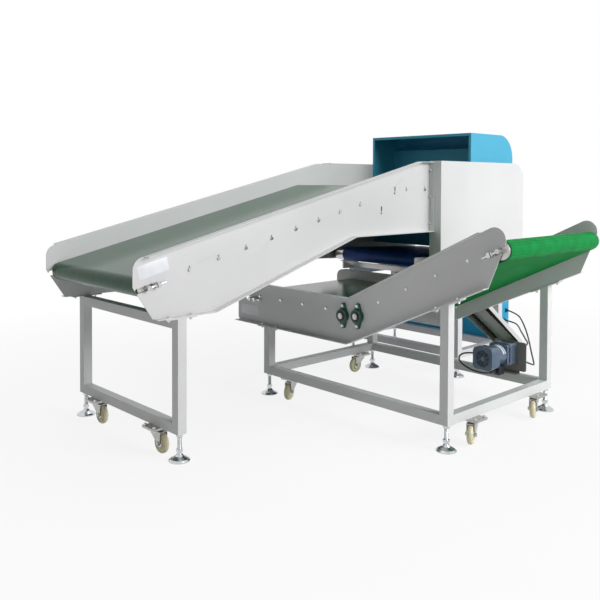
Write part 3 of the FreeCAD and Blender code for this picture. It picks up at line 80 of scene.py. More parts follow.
# %% Camera
eye = Vector((-3.3353, -2.8721, 1.3331))
heading, tilt, roll = (math.radians(a) for a in (46.821, 1.466, 0.203))
camera_data = bpy.data.cameras.new("studio_camera")
camera_data.sensor_width = 36.0
camera_data.lens = 43.93
camera_data.shift_y = -0.16534
camera = bpy.data.objects.new("studio_camera", camera_data)
bpy.context.scene.collection.objects.link(camera)
quarter = math.pi / 2
camera.matrix_world = (Matrix.Translation(eye) @ Matrix.Rotation(heading - quarter, 4, "Z")
                       @ Matrix.Rotation(quarter - tilt, 4, "X") @ Matrix.Rotation(roll, 4, "Z"))
bpy.context.scene.camera = camera
bpy.context.scene.view_settings.view_transform = "Standard"
print("camera stands", round((eye - (cad_low + cad_high) / 2).length, 2), "m from the middle of the machine")

# %% [markdown]
# ## Colour and nodes
#
# Paint makers give colours as hex codes in sRGB, the way a screen shows them, while shaders work in linear
# light. One function turns the first into the second. Another adds a node to a material, sets it up and links
# it, so that each finish below reads as a short list of what it is made of.

# %% Helpers for materials
MM = 0.001


def linear(hex_code):
    """An sRGB hex colour as the linear RGBA that shaders use."""
    channels = [int(hex_code[i:i + 2], 16) / 255 for i in (0, 2, 4)]
    return tuple(c / 12.92 if c <= 0.04045 else ((c + 0.055) / 1.055) ** 2.4 for c in channels) + (1.0,)


def add_node(tree, kind, links, **settings):
    """Adds a node. links gives each input a value, or the socket that feeds it."""
    node = tree.nodes.new(kind)
    for name, value in settings.items():
        setattr(node, name, value)
    for name, source in links.items():
        if isinstance(source, bpy.types.NodeSocket):
            tree.links.new(source, node.inputs[name])
        else:
            node.inputs[name].default_value = source
    return node


def start_material(name):
    """An empty material with its node tree and its Object coordinates."""
    material = bpy.data.materials.new(name)
    material.use_nodes = True
    tree = material.node_tree
    tree.nodes.clear()
    place = add_node(tree, "ShaderNodeTexCoord", {}).outputs["Object"]
    return material, tree, place


def end_material(tree, links):
    """Principled surface from links, joined to the material's output."""
    shader = add_node(tree, "ShaderNodeBsdfPrincipled", links)
    add_node(tree, "ShaderNodeOutputMaterial", {"Surface": shader.outputs["BSDF"]})
    return shader


def relief(tree, height, strength, depth_mm):
    """Normals bent by a pattern: strength from 0 to 1, depth in millimetres."""
    bump = add_node(tree, "ShaderNodeBump", {"Height": height, "Strength": strength,
                                             "Distance": depth_mm * MM})
    return bump.outputs["Normal"]


def two_tone(tree, factor, first, second, low=0.0, high=1.0):
    """Colour that runs from one hex code to another as factor goes from low to high."""
    ramp = add_node(tree, "ShaderNodeValToRGB", {"Fac": factor})
    ramp.color_ramp.elements[0].position = low
    ramp.color_ramp.elements[1].position = high
    ramp.color_ramp.elements[0].color = linear(first)
    ramp.color_ramp.elements[1].color = linear(second)
    return ramp.outputs["Color"]

# %% [markdown]
# ## Powder coat
#
# The frames, side plates and covers are folded mild steel with a baked polyester powder. It is a dielectric
# with an IOR near 1.5 and a satin face, and its skin has a fine orange peel. A smooth plastic shader would
# look like enamel, so a noise in a bump gives the peel, and a second, wide noise gives the slight change of
# tone that a sprayed batch has. Real peel is about 1 mm across, too fine to show, and is drawn at 4 mm. The
# blues are more matt than the white, so their gloss value is lower.

# %% Powder coat
def powder_coat(name, light, dark, roughness=0.42, peel=0.06, gloss=0.5):
    material, tree, place = start_material(name)
    cloud = add_node(tree, "ShaderNodeTexNoise", {"Vector": place, "Scale": 1 / (450 * MM), "Detail": 3.0})
    grain = add_node(tree, "ShaderNodeTexNoise", {"Vector": place, "Scale": 1 / (4 * MM), "Detail": 2.0})
    tone = two_tone(tree, cloud.outputs["Fac"], dark, light, 0.3, 0.7)
    rough = add_node(tree, "ShaderNodeMapRange", {"Value": grain.outputs["Fac"], "To Min": roughness - 0.05,
                                                  "To Max": roughness + 0.05})
    end_material(tree, {"Base Color": tone, "Roughness": rough.outputs["Result"], "IOR": 1.5,
                        "Specular IOR Level": gloss, "Normal": relief(tree, grain.outputs["Fac"], peel, 0.4)})
    return material


warm_white_powder = powder_coat("warm_white_powder_coat", "DEDEDF", "D8D8D9")
sky_blue_powder = powder_coat("sky_blue_powder_coat", "52B2D2", "4AAACA", 0.5, 0.06, 0.3)
# The casing is the hood's blue paint made darker as painted shade, standing in for the shade on its faces.
casing_blue_painted_shade = powder_coat("hood_blue_darkened_as_painted_shade", "067FA8", "05769E", 0.5, 0.06, 0.25)
cabinet_powder = powder_coat("cabinet_blue_powder_coat", "22A6D3", "1C9DC9", 0.45, 0.06, 0.3)
guard_powder = powder_coat("light_grey_powder_coat", "D2D2D1", "CACAC9", 0.45)
plate_powder = powder_coat("warm_grey_powder_coat", "8C8A86", "83817D", 0.5)

# %% [markdown]
# ## Belting
#
# Food belting is woven polyester under a skin of PVC or polyurethane. The smooth one is calendered between
# polished rollers, so it has the sheen of wet paint and a few faint streaks along its travel. The ribbed one
# is embossed and duller. The reversing belt shows its blue back, where the weave reads through. Travel runs
# along X on the infeed and along Y on the lift, so the streaks are a noise squeezed along one axis.

# %% Belting
def smooth_belting(name, along):
    material, tree, place = start_material(name)
    squeeze = (0.6, 14.0, 8.0) if along == "X" else (14.0, 0.6, 8.0)
    stretched = add_node(tree, "ShaderNodeMapping", {"Vector": place, "Scale": squeeze})
    streaks = add_node(tree, "ShaderNodeTexNoise", {"Vector": stretched.outputs["Vector"], "Scale": 2.0,
                                                    "Detail": 4.0})
    grain = add_node(tree, "ShaderNodeTexNoise", {"Vector": place, "Scale": 1 / (30 * MM), "Detail": 2.0})
    tone = two_tone(tree, streaks.outputs["Fac"], "024A2A", "0A5E3A", 0.35, 0.7)
    rough = add_node(tree, "ShaderNodeMapRange", {"Value": streaks.outputs["Fac"], "To Min": 0.13,
                                                  "To Max": 0.18})
    end_material(tree, {"Base Color": tone, "Roughness": rough.outputs["Result"], "IOR": 1.52,
                        "Specular IOR Level": 0.22, "Normal": relief(tree, grain.outputs["Fac"], 0.08, 0.5)})
    return material


def ribbed_belting():
    material, tree, place = start_material("embossed_green_pvc_belting")
    worn = add_node(tree, "ShaderNodeTexNoise", {"Vector": place, "Scale": 1 / (60 * MM), "Detail": 5.0})
    tone = two_tone(tree, worn.outputs["Fac"], "007A36", "009044", 0.3, 0.7)
    end_material(tree, {"Base Color": tone, "Roughness": 0.45, "IOR": 1.5, "Specular IOR Level": 0.08,
                        "Normal": relief(tree, worn.outputs["Fac"], 0.15, 0.5)})
    return material


def navy_belting():
    material, tree, place = start_material("navy_fabric_backed_belting")
    # A fabric face's threads lie well under 1 mm apart, too fine to show, so its bands are drawn at 6 mm. The
    # wave texture makes 20 / (2 pi) bands for each unit of its scale.
    band = 5.919 * MM
    warp = add_node(tree, "ShaderNodeTexWave", {"Vector": place, "Scale": 2 * math.pi / 20 / band},
                    bands_direction="Y")
    worn = add_node(tree, "ShaderNodeTexNoise", {"Vector": place, "Scale": 1 / (80 * MM), "Detail": 4.0})
    tone = two_tone(tree, worn.outputs["Fac"], "0C3C86", "1850A4", 0.3, 0.7)
    end_material(tree, {"Base Color": tone, "Roughness": 0.5, "IOR": 1.5, "Specular IOR Level": 0.3,
                        "Normal": relief(tree, warp.outputs["Fac"], 0.3, 0.4)})
    return material


infeed_belting = smooth_belting("smooth_green_pvc_belting_infeed", "X")
lift_belting = smooth_belting("smooth_green_pvc_belting_lift", "Y")
rib_belting = ribbed_belting()
blue_belting = navy_belting()

# %% [markdown]
# ## Bare and plated metal
#
# Rollers and shafts are bright drawn steel, turned on a lathe: a full metal whose fine rings catch the light
# across the axis. Bolts, pads and screws are zinc plated and passivated, which is brighter and a little blue.
# Pressed castor forks carry the same plate on a rougher sheet. Only the tone, the roughness and the size of
# the grain differ, so one recipe makes them all.

# %% Metals
def metal(name, light, dark, roughness, grain_mm, depth_mm=0.05):
    material, tree, place = start_material(name)
    grain = add_node(tree, "ShaderNodeTexNoise", {"Vector": place, "Scale": 1 / (grain_mm * MM),
                                                  "Detail": 4.0})
    tone = two_tone(tree, grain.outputs["Fac"], dark, light, 0.3, 0.7)
    rough = add_node(tree, "ShaderNodeMapRange", {"Value": grain.outputs["Fac"], "To Min": roughness - 0.06,
                                                  "To Max": roughness + 0.06})
    end_material(tree, {"Base Color": tone, "Metallic": 1.0, "Roughness": rough.outputs["Result"],
                        "Normal": relief(tree, grain.outputs["Fac"], 0.2, depth_mm)})
    return material


turned_steel = metal("turned_bright_steel", "C6C6C4", "B4B4B2", 0.28, 6)
rolled_sheet = metal("cold_rolled_steel_sheet", "A9A8A4", "989793", 0.42, 25)
turned_aluminium = metal("turned_aluminium", "CFCFCD", "BFBFBD", 0.3, 8)
cut_steel = metal("cut_gear_steel", "8F8E8B", "7C7B78", 0.35, 5)
oiled_chain = metal("oiled_chain_steel", "3A3937", "2A2927", 0.4, 6)
passivated_zinc = metal("blue_passivated_zinc", "D4D6D8", "BFC2C5", 0.22, 10)
fork_zinc = metal("zinc_plated_pressing", "BEBEBA", "A6A6A2", 0.34, 14)

# %% [markdown]
# ## Castings, enamel, plastics and rubber
#
# The bearing housings are sand cast and dipped in green enamel, so the sand's grain shows as soft pits under
# a glossy coat. The motor has slate enamel over aluminium. Nylon wheels are moulded and slightly waxy, and
# light goes a little way into them. The cables have an extruded rubber sheath.

# %% Castings, enamel, plastics and rubber
def dielectric(name, light, dark, roughness, grain_mm, depth_mm, strength=0.3, subsurface=0.0):
    material, tree, place = start_material(name)
    grain = add_node(tree, "ShaderNodeTexNoise", {"Vector": place, "Scale": 1 / (grain_mm * MM),
                                                  "Detail": 3.0})
    tone = two_tone(tree, grain.outputs["Fac"], dark, light, 0.3, 0.7)
    shader = end_material(tree, {"Base Color": tone, "Roughness": roughness, "IOR": 1.5,
                                 "Normal": relief(tree, grain.outputs["Fac"], strength, depth_mm)})
    if subsurface:
        shader.inputs["Subsurface Weight"].default_value = subsurface
        shader.inputs["Subsurface Scale"].default_value = 3 * MM
    return material


cast_green = dielectric("green_enamel_on_sand_casting", "14604A", "0E503C", 0.28, 5, 0.6)
gear_enamel = dielectric("slate_enamel_on_gear_casting", "74839A", "68778E", 0.3, 6, 0.3)
motor_enamel = dielectric("slate_enamel_on_aluminium", "5E6E86", "54647C", 0.22, 12, 0.15)
black_plastic = dielectric("black_moulded_abs", "262A31", "1E2127", 0.35, 3, 0.1)
coil_resin = dielectric("grey_potting_resin", "8E897D", "7F7A6F", 0.5, 20, 0.3)
cream_nylon = dielectric("moulded_cream_nylon", "E6DFC0", "DDD5B2", 0.4, 20, 0.1, 0.2, subsurface=0.15)
cable_rubber = dielectric("black_rubber_cable_sheath", "1A1A1B", "121213", 0.5, 6, 0.2)
label_white = dielectric("blank_white_label_film", "F0F2F6", "E8EBF2", 0.3, 30, 0.05)
label_blue = dielectric("blue_label_film", "3E86BE", "3579B0", 0.3, 30, 0.05)
seal_rubber = dielectric("black_nitrile_seal", "1B1B1C", "141415", 0.55, 4, 0.1)

# %% [markdown]
# ## Which finish goes on which part
#
# Every CAD node carries the name of a finish from its record. A dictionary from those names to the materials
# above dresses the whole machine in one loop. The two smooth belts travel different ways, so the lift's belt
# is the one exception.

# %% Put the finishes on
finishes = {
    "white_powder_coat": warm_white_powder, "hood_blue": sky_blue_powder, "casing_blue": casing_blue_painted_shade,
    "cabinet_blue": cabinet_powder, "smooth_green_belt": infeed_belting, "ribbed_green_belt": rib_belting,
    "navy_belt": blue_belting, "bright_steel": turned_steel, "sheet_steel": rolled_sheet,
    "roller_aluminium": turned_aluminium, "green_cast_iron": cast_green, "machined_steel": cut_steel,
    "chain_steel": oiled_chain, "guard_coat": guard_powder, "grey_plate_coat": plate_powder,
    "gear_head_coat": gear_enamel, "motor_coat": motor_enamel, "black_plastic": black_plastic,
    "coil_resin": coil_resin, "bright_zinc": passivated_zinc, "castor_zinc": fork_zinc,
    "cream_nylon": cream_nylon, "black_cable": cable_rubber}
slots = {row["node"]: row["material_slot"] for row in frame["record"]["subparts"]}


def dress(node, material):
    mesh = frame["nodes"][node].data
    mesh.materials.clear()
    mesh.materials.append(material)


for node, slot_name in slots.items():
    dress(node, finishes[slot_name])
dress("flat_belt", lift_belting)
print("dressed", len(slots), "parts in", len(finishes), "finishes")

# %% [markdown]
# ## Soft edges
#
# A folded sheet has a bend radius of a few millimetres, and no cut edge is razor sharp. Edges that catch a
# thin line of light are what makes sheet metal look real. The CAD meshes are loose triangles, so a Weld
# modifier joins them first and a Bevel rounds what is sharper than 40 degrees. Modelling each round in CAD
# would cost thousands of faces for the same line.

# %% Round the edges of folded and welded parts
def soften(node, width_mm, segments=2):
    thing = frame["nodes"][node]
    weld = thing.modifiers.new("join_triangles", "WELD")
    weld.merge_threshold = 0.02 * MM
    bevel = thing.modifiers.new("soft_edges", "BEVEL")
    bevel.width = width_mm * MM
    bevel.segments = segments
    bevel.limit_method = "ANGLE"
    bevel.angle_limit = math.radians(40)


for node, width_mm in (("infeed_stand", 3.0), ("lift_frame", 3.0), ("head_frame", 3.0), ("gear_motor", 1.5),
                       ("gear_head", 1.5), ("terminal_box", 2.0), ("control_cabinet", 1.0), ("hood", 0.9),
                       ("head_cover_near", 0.9), ("head_cover_far", 0.9), ("infeed_side_plate_near", 0.9),
                       ("infeed_side_plate_far", 0.9), ("lift_side_plate_near", 0.9),
                       ("lift_side_plate_far", 0.9), ("motor_plate", 0.9), ("chain_guard", 0.6),
                       ("coil_case", 0.8), ("bearing_housings", 1.5)):
    soften(node, width_mm)

# %% [markdown]
# ## Pieces and where they ride
#
# Each added piece is a mesh in place, with its object at the origin, and it moves with one body of the
# machine. Still pieces ride on the frame and turning ones on their roller.

# %% A helper that hands over a finished mesh
def finished(name, bm, material, body, smooth=None):
    mesh = bpy.data.meshes.new(name)
    bm.to_mesh(mesh)
    bm.free()
    mesh.materials.append(material)
    piece = bpy.data.objects.new(name, mesh)
    bpy.context.scene.collection.objects.link(piece)
    if smooth is not None:
        for face in mesh.polygons:
            face.use_smooth = True
        mesh.set_sharp_from_angle(angle=math.radians(smooth))
    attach(piece, body)
    print(name, "has", len(mesh.polygons), "faces")
    return piece


def middle(node):
    low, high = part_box(node)
    return (low + high) / 2


# %% [markdown]
# ## Cables
#
# Two cables leave the cabinet and go through the motor's plate, and a short lead loops from the terminal box.
# Each is one smooth spline through a handful of listed points, given in the drawing's millimetres, whose
# zero is worked out from the machine's own box: it lies 1261 mm in from the tail end and 548 mm in from the
# far side. Order 3 makes the spline bend like a cable, without kinks.

# %% Cables
zero_from_tail, zero_from_far_side = 1261 * MM, 548 * MM
drawing_zero = Vector((cad_low.x + zero_from_tail, cad_high.y - zero_from_far_side, 0.0))
cable_width = 10 * MM
routes = {
    "cabinet_cable_upper": (1.087, [
        (1822, -528, 392), (1806, -617, 379), (1742, -690, 344), (1668, -762, 300), (1584, -830, 259),
        (1494, -893, 230), (1400, -956, 212), (1304, -1021, 196), (1209, -1080, 195), (1110, -1117, 222),
        (1014, -1118, 258)]),
    "cabinet_cable_lower": (1.010, [
        (1796, -528, 322), (1788, -604, 318), (1716, -676, 310), (1622, -742, 309), (1530, -806, 313),
        (1430, -876, 320), (1328, -944, 328), (1228, -1012, 336), (1130, -1084, 341), (1014, -1117, 340)]),
    "motor_lead": (0.547, [
        (806, -1020.8, 205.9), (760, -1016, 209), (722, -972, 219), (712, -915, 236), (727, -860, 254),
        (766, -823, 272), (820, -812, 283), (872, -832, 284), (912, -870, 276), (942, -910, 266),
        (992, -935, 262)])}


def cable(node, points_mm):
    curve = bpy.data.curves.new(node + "_sheath", "CURVE")
    curve.dimensions = "3D"
    curve.bevel_depth = cable_width / 2
    curve.bevel_resolution = 5
    curve.resolution_u = 10
    curve.use_fill_caps = True
    spline = curve.splines.new("NURBS")
    points = [drawing_zero + Vector(point) * MM for point in points_mm]
    spline.points.add(len(points) - 1)
    for control, place in zip(spline.points, points):
        control.co = (*place, 1.0)
    spline.order_u = 3
    spline.use_endpoint_u = True
    curve.materials.append(cable_rubber)
    piece = bpy.data.objects.new(node + "_sheath", curve)
    bpy.context.scene.collection.objects.link(piece)
    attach(piece, "frame")
    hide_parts(node)


for node, (length, points_mm) in routes.items():
    cable(node, points_mm)

# %% [markdown]
# ## Ribs on the climbing belt
#
# The lift's climbing belt is embossed with fine ribs across its width, so that wet product doesn't slide. A
# bump map would vanish at the edge, where ribs show best, so each rib is a real bar with a rounded top. The
# bars follow the loop: along the top, round the head roller, back underneath and round the tail roller. Real
# ribs are finer, and 14 mm apart is the closest that still shows as lines.

# %% Belt ribs
def loop_places(tail, head, radius, spacing):
    """Points and outward directions round a belt loop in the YZ plane, evenly spaced."""
    run = Vector((0.0, head.y - tail.y, head.z - tail.z))
    forward = run.normalized()
    up = Vector((0.0, forward.z, -forward.y))
    if up.z < 0:
        up = -up
    arc = math.pi * radius
    total = 2 * run.length + 2 * arc
    count = round(total / spacing)
    places = []
    for i in range(count):
        travel = i * total / count
        if travel < run.length:
            places.append((tail + forward * travel + up * radius, up))
        elif travel < run.length + arc:
            turn = (travel - run.length) / radius
            out = up * math.cos(turn) + forward * math.sin(turn)
            places.append((head + out * radius, out))
        elif travel < 2 * run.length + arc:
            places.append((head - forward * (travel - run.length - arc) - up * radius, -up))
        else:
            turn = (travel - 2 * run.length - arc) / radius
            out = -up * math.cos(turn) - forward * math.sin(turn)
            places.append((tail + out * radius, out))
    return places


belt_low, belt_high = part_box("ribbed_belt")
head_low, head_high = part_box("ribbed_head_roller")
belt_thickness = 3 * MM
belt_reach = (head_high.z - head_low.z) / 2 + belt_thickness + 0.3 * MM
rib_spacing, rib_width, rib_height = 14 * MM, 5 * MM, 2 * MM
belt_edge, rib_round = 1 * MM, 0.9 * MM
tail_middle, head_middle = middle("ribbed_tail_sprockets"), middle("ribbed_head_roller")
belt_x = middle("ribbed_belt").x
axis_tail = Vector((belt_x, tail_middle.y, tail_middle.z))
axis_head = Vector((belt_x, head_middle.y, head_middle.z))

ribs = bmesh.new()
for place, out in loop_places(axis_tail, axis_head, belt_reach, rib_spacing):
    made = bmesh.ops.create_cube(ribs, size=1.0)["verts"]
    across = Vector((1.0, 0.0, 0.0))
    along = out.cross(across)
    turn = Matrix((across, along, out)).transposed().to_4x4()
    size = Matrix.Diagonal((belt_high.x - belt_low.x - 2 * belt_edge, rib_width, rib_height, 1.0))
    seat = Matrix.Translation(place + out * rib_height / 2)
    bmesh.ops.transform(ribs, matrix=seat @ turn @ size, verts=made)
    top = [e for e in {e for v in made for e in v.link_edges}
           if all((v.co - place).dot(out) > rib_height / 2 for v in e.verts)
           and abs((e.verts[0].co - e.verts[1].co).x) > 0.1]
    bmesh.ops.bevel(ribs, geom=top, offset=rib_round, offset_type="OFFSET", segments=2, profile=0.5,
                    affect="EDGES", material=-1)
finished("climbing_belt_ribs", ribs, rib_belting, "frame")

# %% [markdown]
# ## A lathe for small round parts
#
# Seals, nipples, hub rings, threads and grille rings were all turned or pressed round an axis. A screw
# modifier could make each, but its object would have to be turned to face that axis. The spin operator takes
# any centre and axis, so one helper draws a profile beside the axis and spins it. A profile that starts off
# the axis is closed into a ring, and one that starts on it becomes a solid. A second helper makes bars.

# %% Lathe and bar helpers
def turned(bm, profile_mm, centre, axis, steps=32):
    """Spins (along, radius) points, in millimetres, round an axis through centre."""
    axis = Vector(axis).normalized()
    side = axis.orthogonal().normalized()
    earlier = set(bm.faces)
    spots = [bm.verts.new(centre + axis * along * MM + side * radius * MM) for along, radius in profile_mm]
    pairs = list(zip(spots, spots[1:]))
    if profile_mm[0][1] > 0:
        pairs.append((spots[-1], spots[0]))
    edges = [bm.edges.new(pair) for pair in pairs]
    bmesh.ops.spin(bm, geom=spots + edges, cent=centre, axis=axis, angle=2 * math.pi, steps=steps,
                   use_merge=True)
    corners = {v for f in bm.faces if f not in earlier for v in f.verts}
    bmesh.ops.remove_doubles(bm, verts=list(corners), dist=0.001 * MM)
    bmesh.ops.recalc_face_normals(bm, faces=[f for f in bm.faces if f not in earlier])


def block(bm, centre, sides, along_x, along_y, round_mm=0.6, segments=2):
    """A bevelled bar or plate: sides in metres along along_x, along_y and the direction square to both."""
    made = bmesh.ops.create_cube(bm, size=1.0)["verts"]
    x, y = Vector(along_x).normalized(), Vector(along_y).normalized()
    turn = Matrix((x, y, x.cross(y))).transposed().to_4x4()
    size = Matrix.Diagonal((*sides, 1.0))
    bmesh.ops.transform(bm, matrix=Matrix.Translation(centre) @ turn @ size, verts=made)
    edges = list({e for v in made for e in v.link_edges})
    bmesh.ops.bevel(bm, geom=edges, offset=round_mm * MM, offset_type="OFFSET", segments=segments,
                    profile=0.5, affect="EDGES", material=-1)


across_x, across_y, upright = Vector((1.0, 0.0, 0.0)), Vector((0.0, 1.0, 0.0)), Vector((0.0, 0.0, 1.0))

# %% [markdown]
# ## Motor: grille, fan and rating plate
#
# The cowl's end is an open ring in CAD. On a real gear motor a moulded grille of rings and spokes closes it,
# with the cooling fan dark behind. The band near the gear end is a foil plate wrapped on the barrel: it is
# left blank here, white with a blue stripe. A strip spun part of a turn hugs the barrel, where a flat plate
# would cut into it.

# %% Fan grille and fan
motor_low, motor_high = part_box("gear_motor")
motor_axis = Vector((0.0, (motor_low.y + motor_high.y) / 2, (motor_low.z + motor_high.z) / 2))
cowl_mouth = motor_axis + across_x * motor_low.x
grille = bmesh.new()
for ring_mm in (47.2, 39.0, 30.5, 22.0):
    turned(grille, [(2.0, ring_mm - 1.5), (1.2, ring_mm - 0.8), (1.2, ring_mm + 0.8), (2.0, ring_mm + 1.5),
                    (4.5, ring_mm + 1.5), (4.5, ring_mm - 1.5)], cowl_mouth, across_x, 40)
turned(grille, [(0.6, 0.0), (0.8, 9.0), (1.6, 12.5), (2.6, 14.0), (4.5, 14.0), (4.5, 0.0)],
       cowl_mouth, across_x, 40)
spokes = 8
reach_low, reach_high = 13.0 * MM, 46.5 * MM
for i in range(spokes):
    angle = 2 * math.pi * (i + 0.5) / spokes
    out = across_y * math.cos(angle) + upright * math.sin(angle)
    block(grille, cowl_mouth + out * (reach_low + reach_high) / 2 + across_x * 3.4 * MM,
          (2.2 * MM, reach_high - reach_low, 3.0 * MM), across_x, out, 0.5)
finished("motor_fan_grille", grille, gear_enamel, "frame", 35)

fan = bmesh.new()
fan_back = cowl_mouth + across_x * 16 * MM
turned(fan, [(0.0, 0.0), (0.0, 15.0), (3.0, 18.0), (16.0, 18.0), (16.0, 0.0)], fan_back, across_x, 32)
blades = 9
blade_lean = 0.45
for i in range(blades):
    angle = 2 * math.pi * i / blades
    out = across_y * math.cos(angle) + upright * math.sin(angle)
    onward = upright * math.cos(angle) - across_y * math.sin(angle)
    lean = (across_x + onward * blade_lean).normalized()
    block(fan, fan_back + out * 31 * MM + across_x * 8 * MM, (14 * MM, 28 * MM, 1.8 * MM), lean, out, 0.5)
finished("motor_fan", fan, black_plastic, "frame", 35)

# %% Blank rating plate on the barrel
film_mm = 0.4


def wrap(name, near_mm, far_mm, radius_mm, start_deg, sweep_deg, material):
    """A film round the motor's barrel, from near_mm to far_mm behind its gear end."""
    strip = bmesh.new()
    start = math.radians(start_deg)
    out = across_y * math.cos(start) + upright * math.sin(start)
    low, high = radius_mm * MM, (radius_mm + film_mm) * MM
    base = motor_axis + across_x * motor_high.x
    ends = [(-far_mm, low), (-near_mm, low), (-near_mm, high), (-far_mm, high)]
    spots = [strip.verts.new(base + across_x * along * MM + out * radius) for along, radius in ends]
    face = strip.faces.new(spots)
    bmesh.ops.spin(strip, geom=[face] + list(face.edges) + spots, cent=motor_axis, axis=across_x,
                   angle=math.radians(sweep_deg), steps=24)
    bmesh.ops.remove_doubles(strip, verts=strip.verts, dist=0.001 * MM)
    bmesh.ops.recalc_face_normals(strip, faces=strip.faces)
    finished(name, strip, material, "frame", 35)


barrel_mm = 59.0
wrap("motor_plate_white", 36.0, 66.0, barrel_mm, 70, 95, label_white)
wrap("motor_plate_blue", 46.0, 53.0, barrel_mm + 0.3, 70.5, 94, label_blue)

# %% [markdown]
# ## Bearing units: seals and grease nipples
#
# An oval flange unit has a black rubber seal round its inner ring and a nipple screwed into the boss. They
# are small, but the two units sit right at the front, so their absence would show at once.

# %% Bearing details
def axle(body):
    """The place of the joint that turns a body."""
    return Vector(next(joint["pos_m"] for joint in frame["joints"] if joint["child"] == body))


units = bmesh.new()
nipples = bmesh.new()
housing_low, housing_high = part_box("bearing_housings")
lean = (across_y * 0.82 - upright * 0.57).normalized()
for body in ("flat_head_roller", "ribbed_tail_roller"):
    axis_place = axle(body)
    for face_x, out in ((housing_low.x, -1), (housing_high.x, 1)):
        centre = Vector((face_x, axis_place.y, axis_place.z))
        turned(units, [(-1.0, 17.6), (0.8, 18.2), (1.2, 21.0), (0.8, 27.0), (0.0, 29.0), (-1.0, 29.0)],
               centre, across_x * out, 40)
        root = centre + lean * 38 * MM - across_x * out * 10 * MM
        turned(nipples, [(0.0, 0.0), (0.0, 4.5), (4.0, 4.5), (4.6, 3.0), (7.0, 2.4), (8.2, 3.2), (9.6, 2.6),
                         (10.4, 0.0)], root, lean, 16)
finished("bearing_seals", units, seal_rubber, "frame", 35)
finished("grease_nipples", nipples, passivated_zinc, "frame", 35)

# %% [markdown]
# ## Castor wheels: bearing caps and moulded rings
#
# Each wheel has a pressed bearing cap at its hub and a moulded ring between hub and tread. They turn with the
# wheel, so they ride on its body, and the joint itself says where the axle is and which way it points.

# %% Castor details
half_wheel_mm = 16.0
for joint in frame["joints"]:
    if not joint["name"].startswith("castor_roll"):
        continue
    number = joint["name"].split("_")[-1]
    hub = Vector(joint["pos_m"])
    caps = bmesh.new()
    rings = bmesh.new()
    for side in (-1, 1):
        direction = Vector(joint["axis"]) * side
        turned(caps, [(half_wheel_mm - 1.0, 8.0), (half_wheel_mm + 0.9, 8.6), (half_wheel_mm + 1.1, 13.0),
                      (half_wheel_mm + 0.5, 18.5), (half_wheel_mm - 1.0, 19.0)], hub, direction, 32)
        turned(rings, [(half_wheel_mm - 5.0, 29.0), (half_wheel_mm - 2.4, 29.4), (half_wheel_mm - 2.0, 30.6),
                       (half_wheel_mm - 2.4, 31.8), (half_wheel_mm - 5.0, 32.2)], hub, direction, 40)
    wheel = "castor_wheel_" + number
    finished("wheel_bearing_caps_" + number, caps, passivated_zinc, wheel, 35)
    finished("wheel_moulded_rings_" + number, rings, cream_nylon, wheel, 35)

# %% [markdown]
# ## Threads on the levelling feet
#
# The studs are plain rods in CAD. A thread is what tells a screwed foot from a peg, and its ridges sparkle. A
# real thread is a helix, but stacked rings look the same at this size and close cleanly, so the lathe cuts
# one zigzag profile for each stud. The record's floor pads say where the feet stand.

# %% Foot threads
thread_pitch_mm, thread_low_mm, thread_high_mm = 2.5, 58.6, 115.0
ridges = int((thread_high_mm - thread_low_mm) / thread_pitch_mm)
root_r_mm, flank_r_mm, crest_r_mm = 9.6, 10.05, 10.9
thread_profile = [(thread_low_mm, root_r_mm)]
for i in range(ridges):
    thread_profile.append((thread_low_mm + (i + 0.25) * thread_pitch_mm, flank_r_mm))
    thread_profile.append((thread_low_mm + (i + 0.75) * thread_pitch_mm, crest_r_mm))
thread_profile.append((thread_low_mm + ridges * thread_pitch_mm, root_r_mm))
threads = bmesh.new()
for mount in frame["record"]["mounts"]:
    turned(threads, thread_profile, Vector(mount["pos_m"]), upright, 16)
finished("foot_threads", threads, passivated_zinc, "frame", 35)

# %% [markdown]
# ## Blank plates on the side plates
#
# Two film plates sit on the side plates by the belt ends. They are left blank: a white film with rounded
# corners, laid along the conveyor's own slope. A thin bevelled block shows its edge, where a painted patch
# would look printed on.

# %% Blank plates
sheet, film = 4.0 * MM, 0.6 * MM
near_low, near_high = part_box("infeed_side_plate_near")
lift_low, lift_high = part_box("lift_side_plate_near")
infeed_end_gap, infeed_low_gap = 108 * MM, 241 * MM
lift_end_gap, lift_low_gap = 119 * MM, 76 * MM
infeed_run = axle("infeed_bend_roller") - axle("infeed_tail_roller")
infeed_run.y = 0.0
plates = bmesh.new()
block(plates, Vector((near_low.x + infeed_end_gap, near_high.y - sheet - film / 2,
                      near_low.z + infeed_low_gap)),
      (168 * MM, film, 64 * MM), infeed_run, across_y, 0.25)
block(plates, Vector((lift_high.x - sheet - film / 2, lift_high.y - lift_end_gap,
                      lift_low.z + lift_low_gap)),
      (film, 171 * MM, 61 * MM), across_x, across_y, 0.25)
finished("blank_film_plates", plates, label_white, "frame", 35)

# %% [markdown]
# ## Door of the control cabinet
#
# The cabinet is a plain box in CAD. Its door is a folded panel set a little proud of the frame, on two
# lift-off hinges, with two quarter-turn locks. The panel is one bevelled block, because only its rim shows.

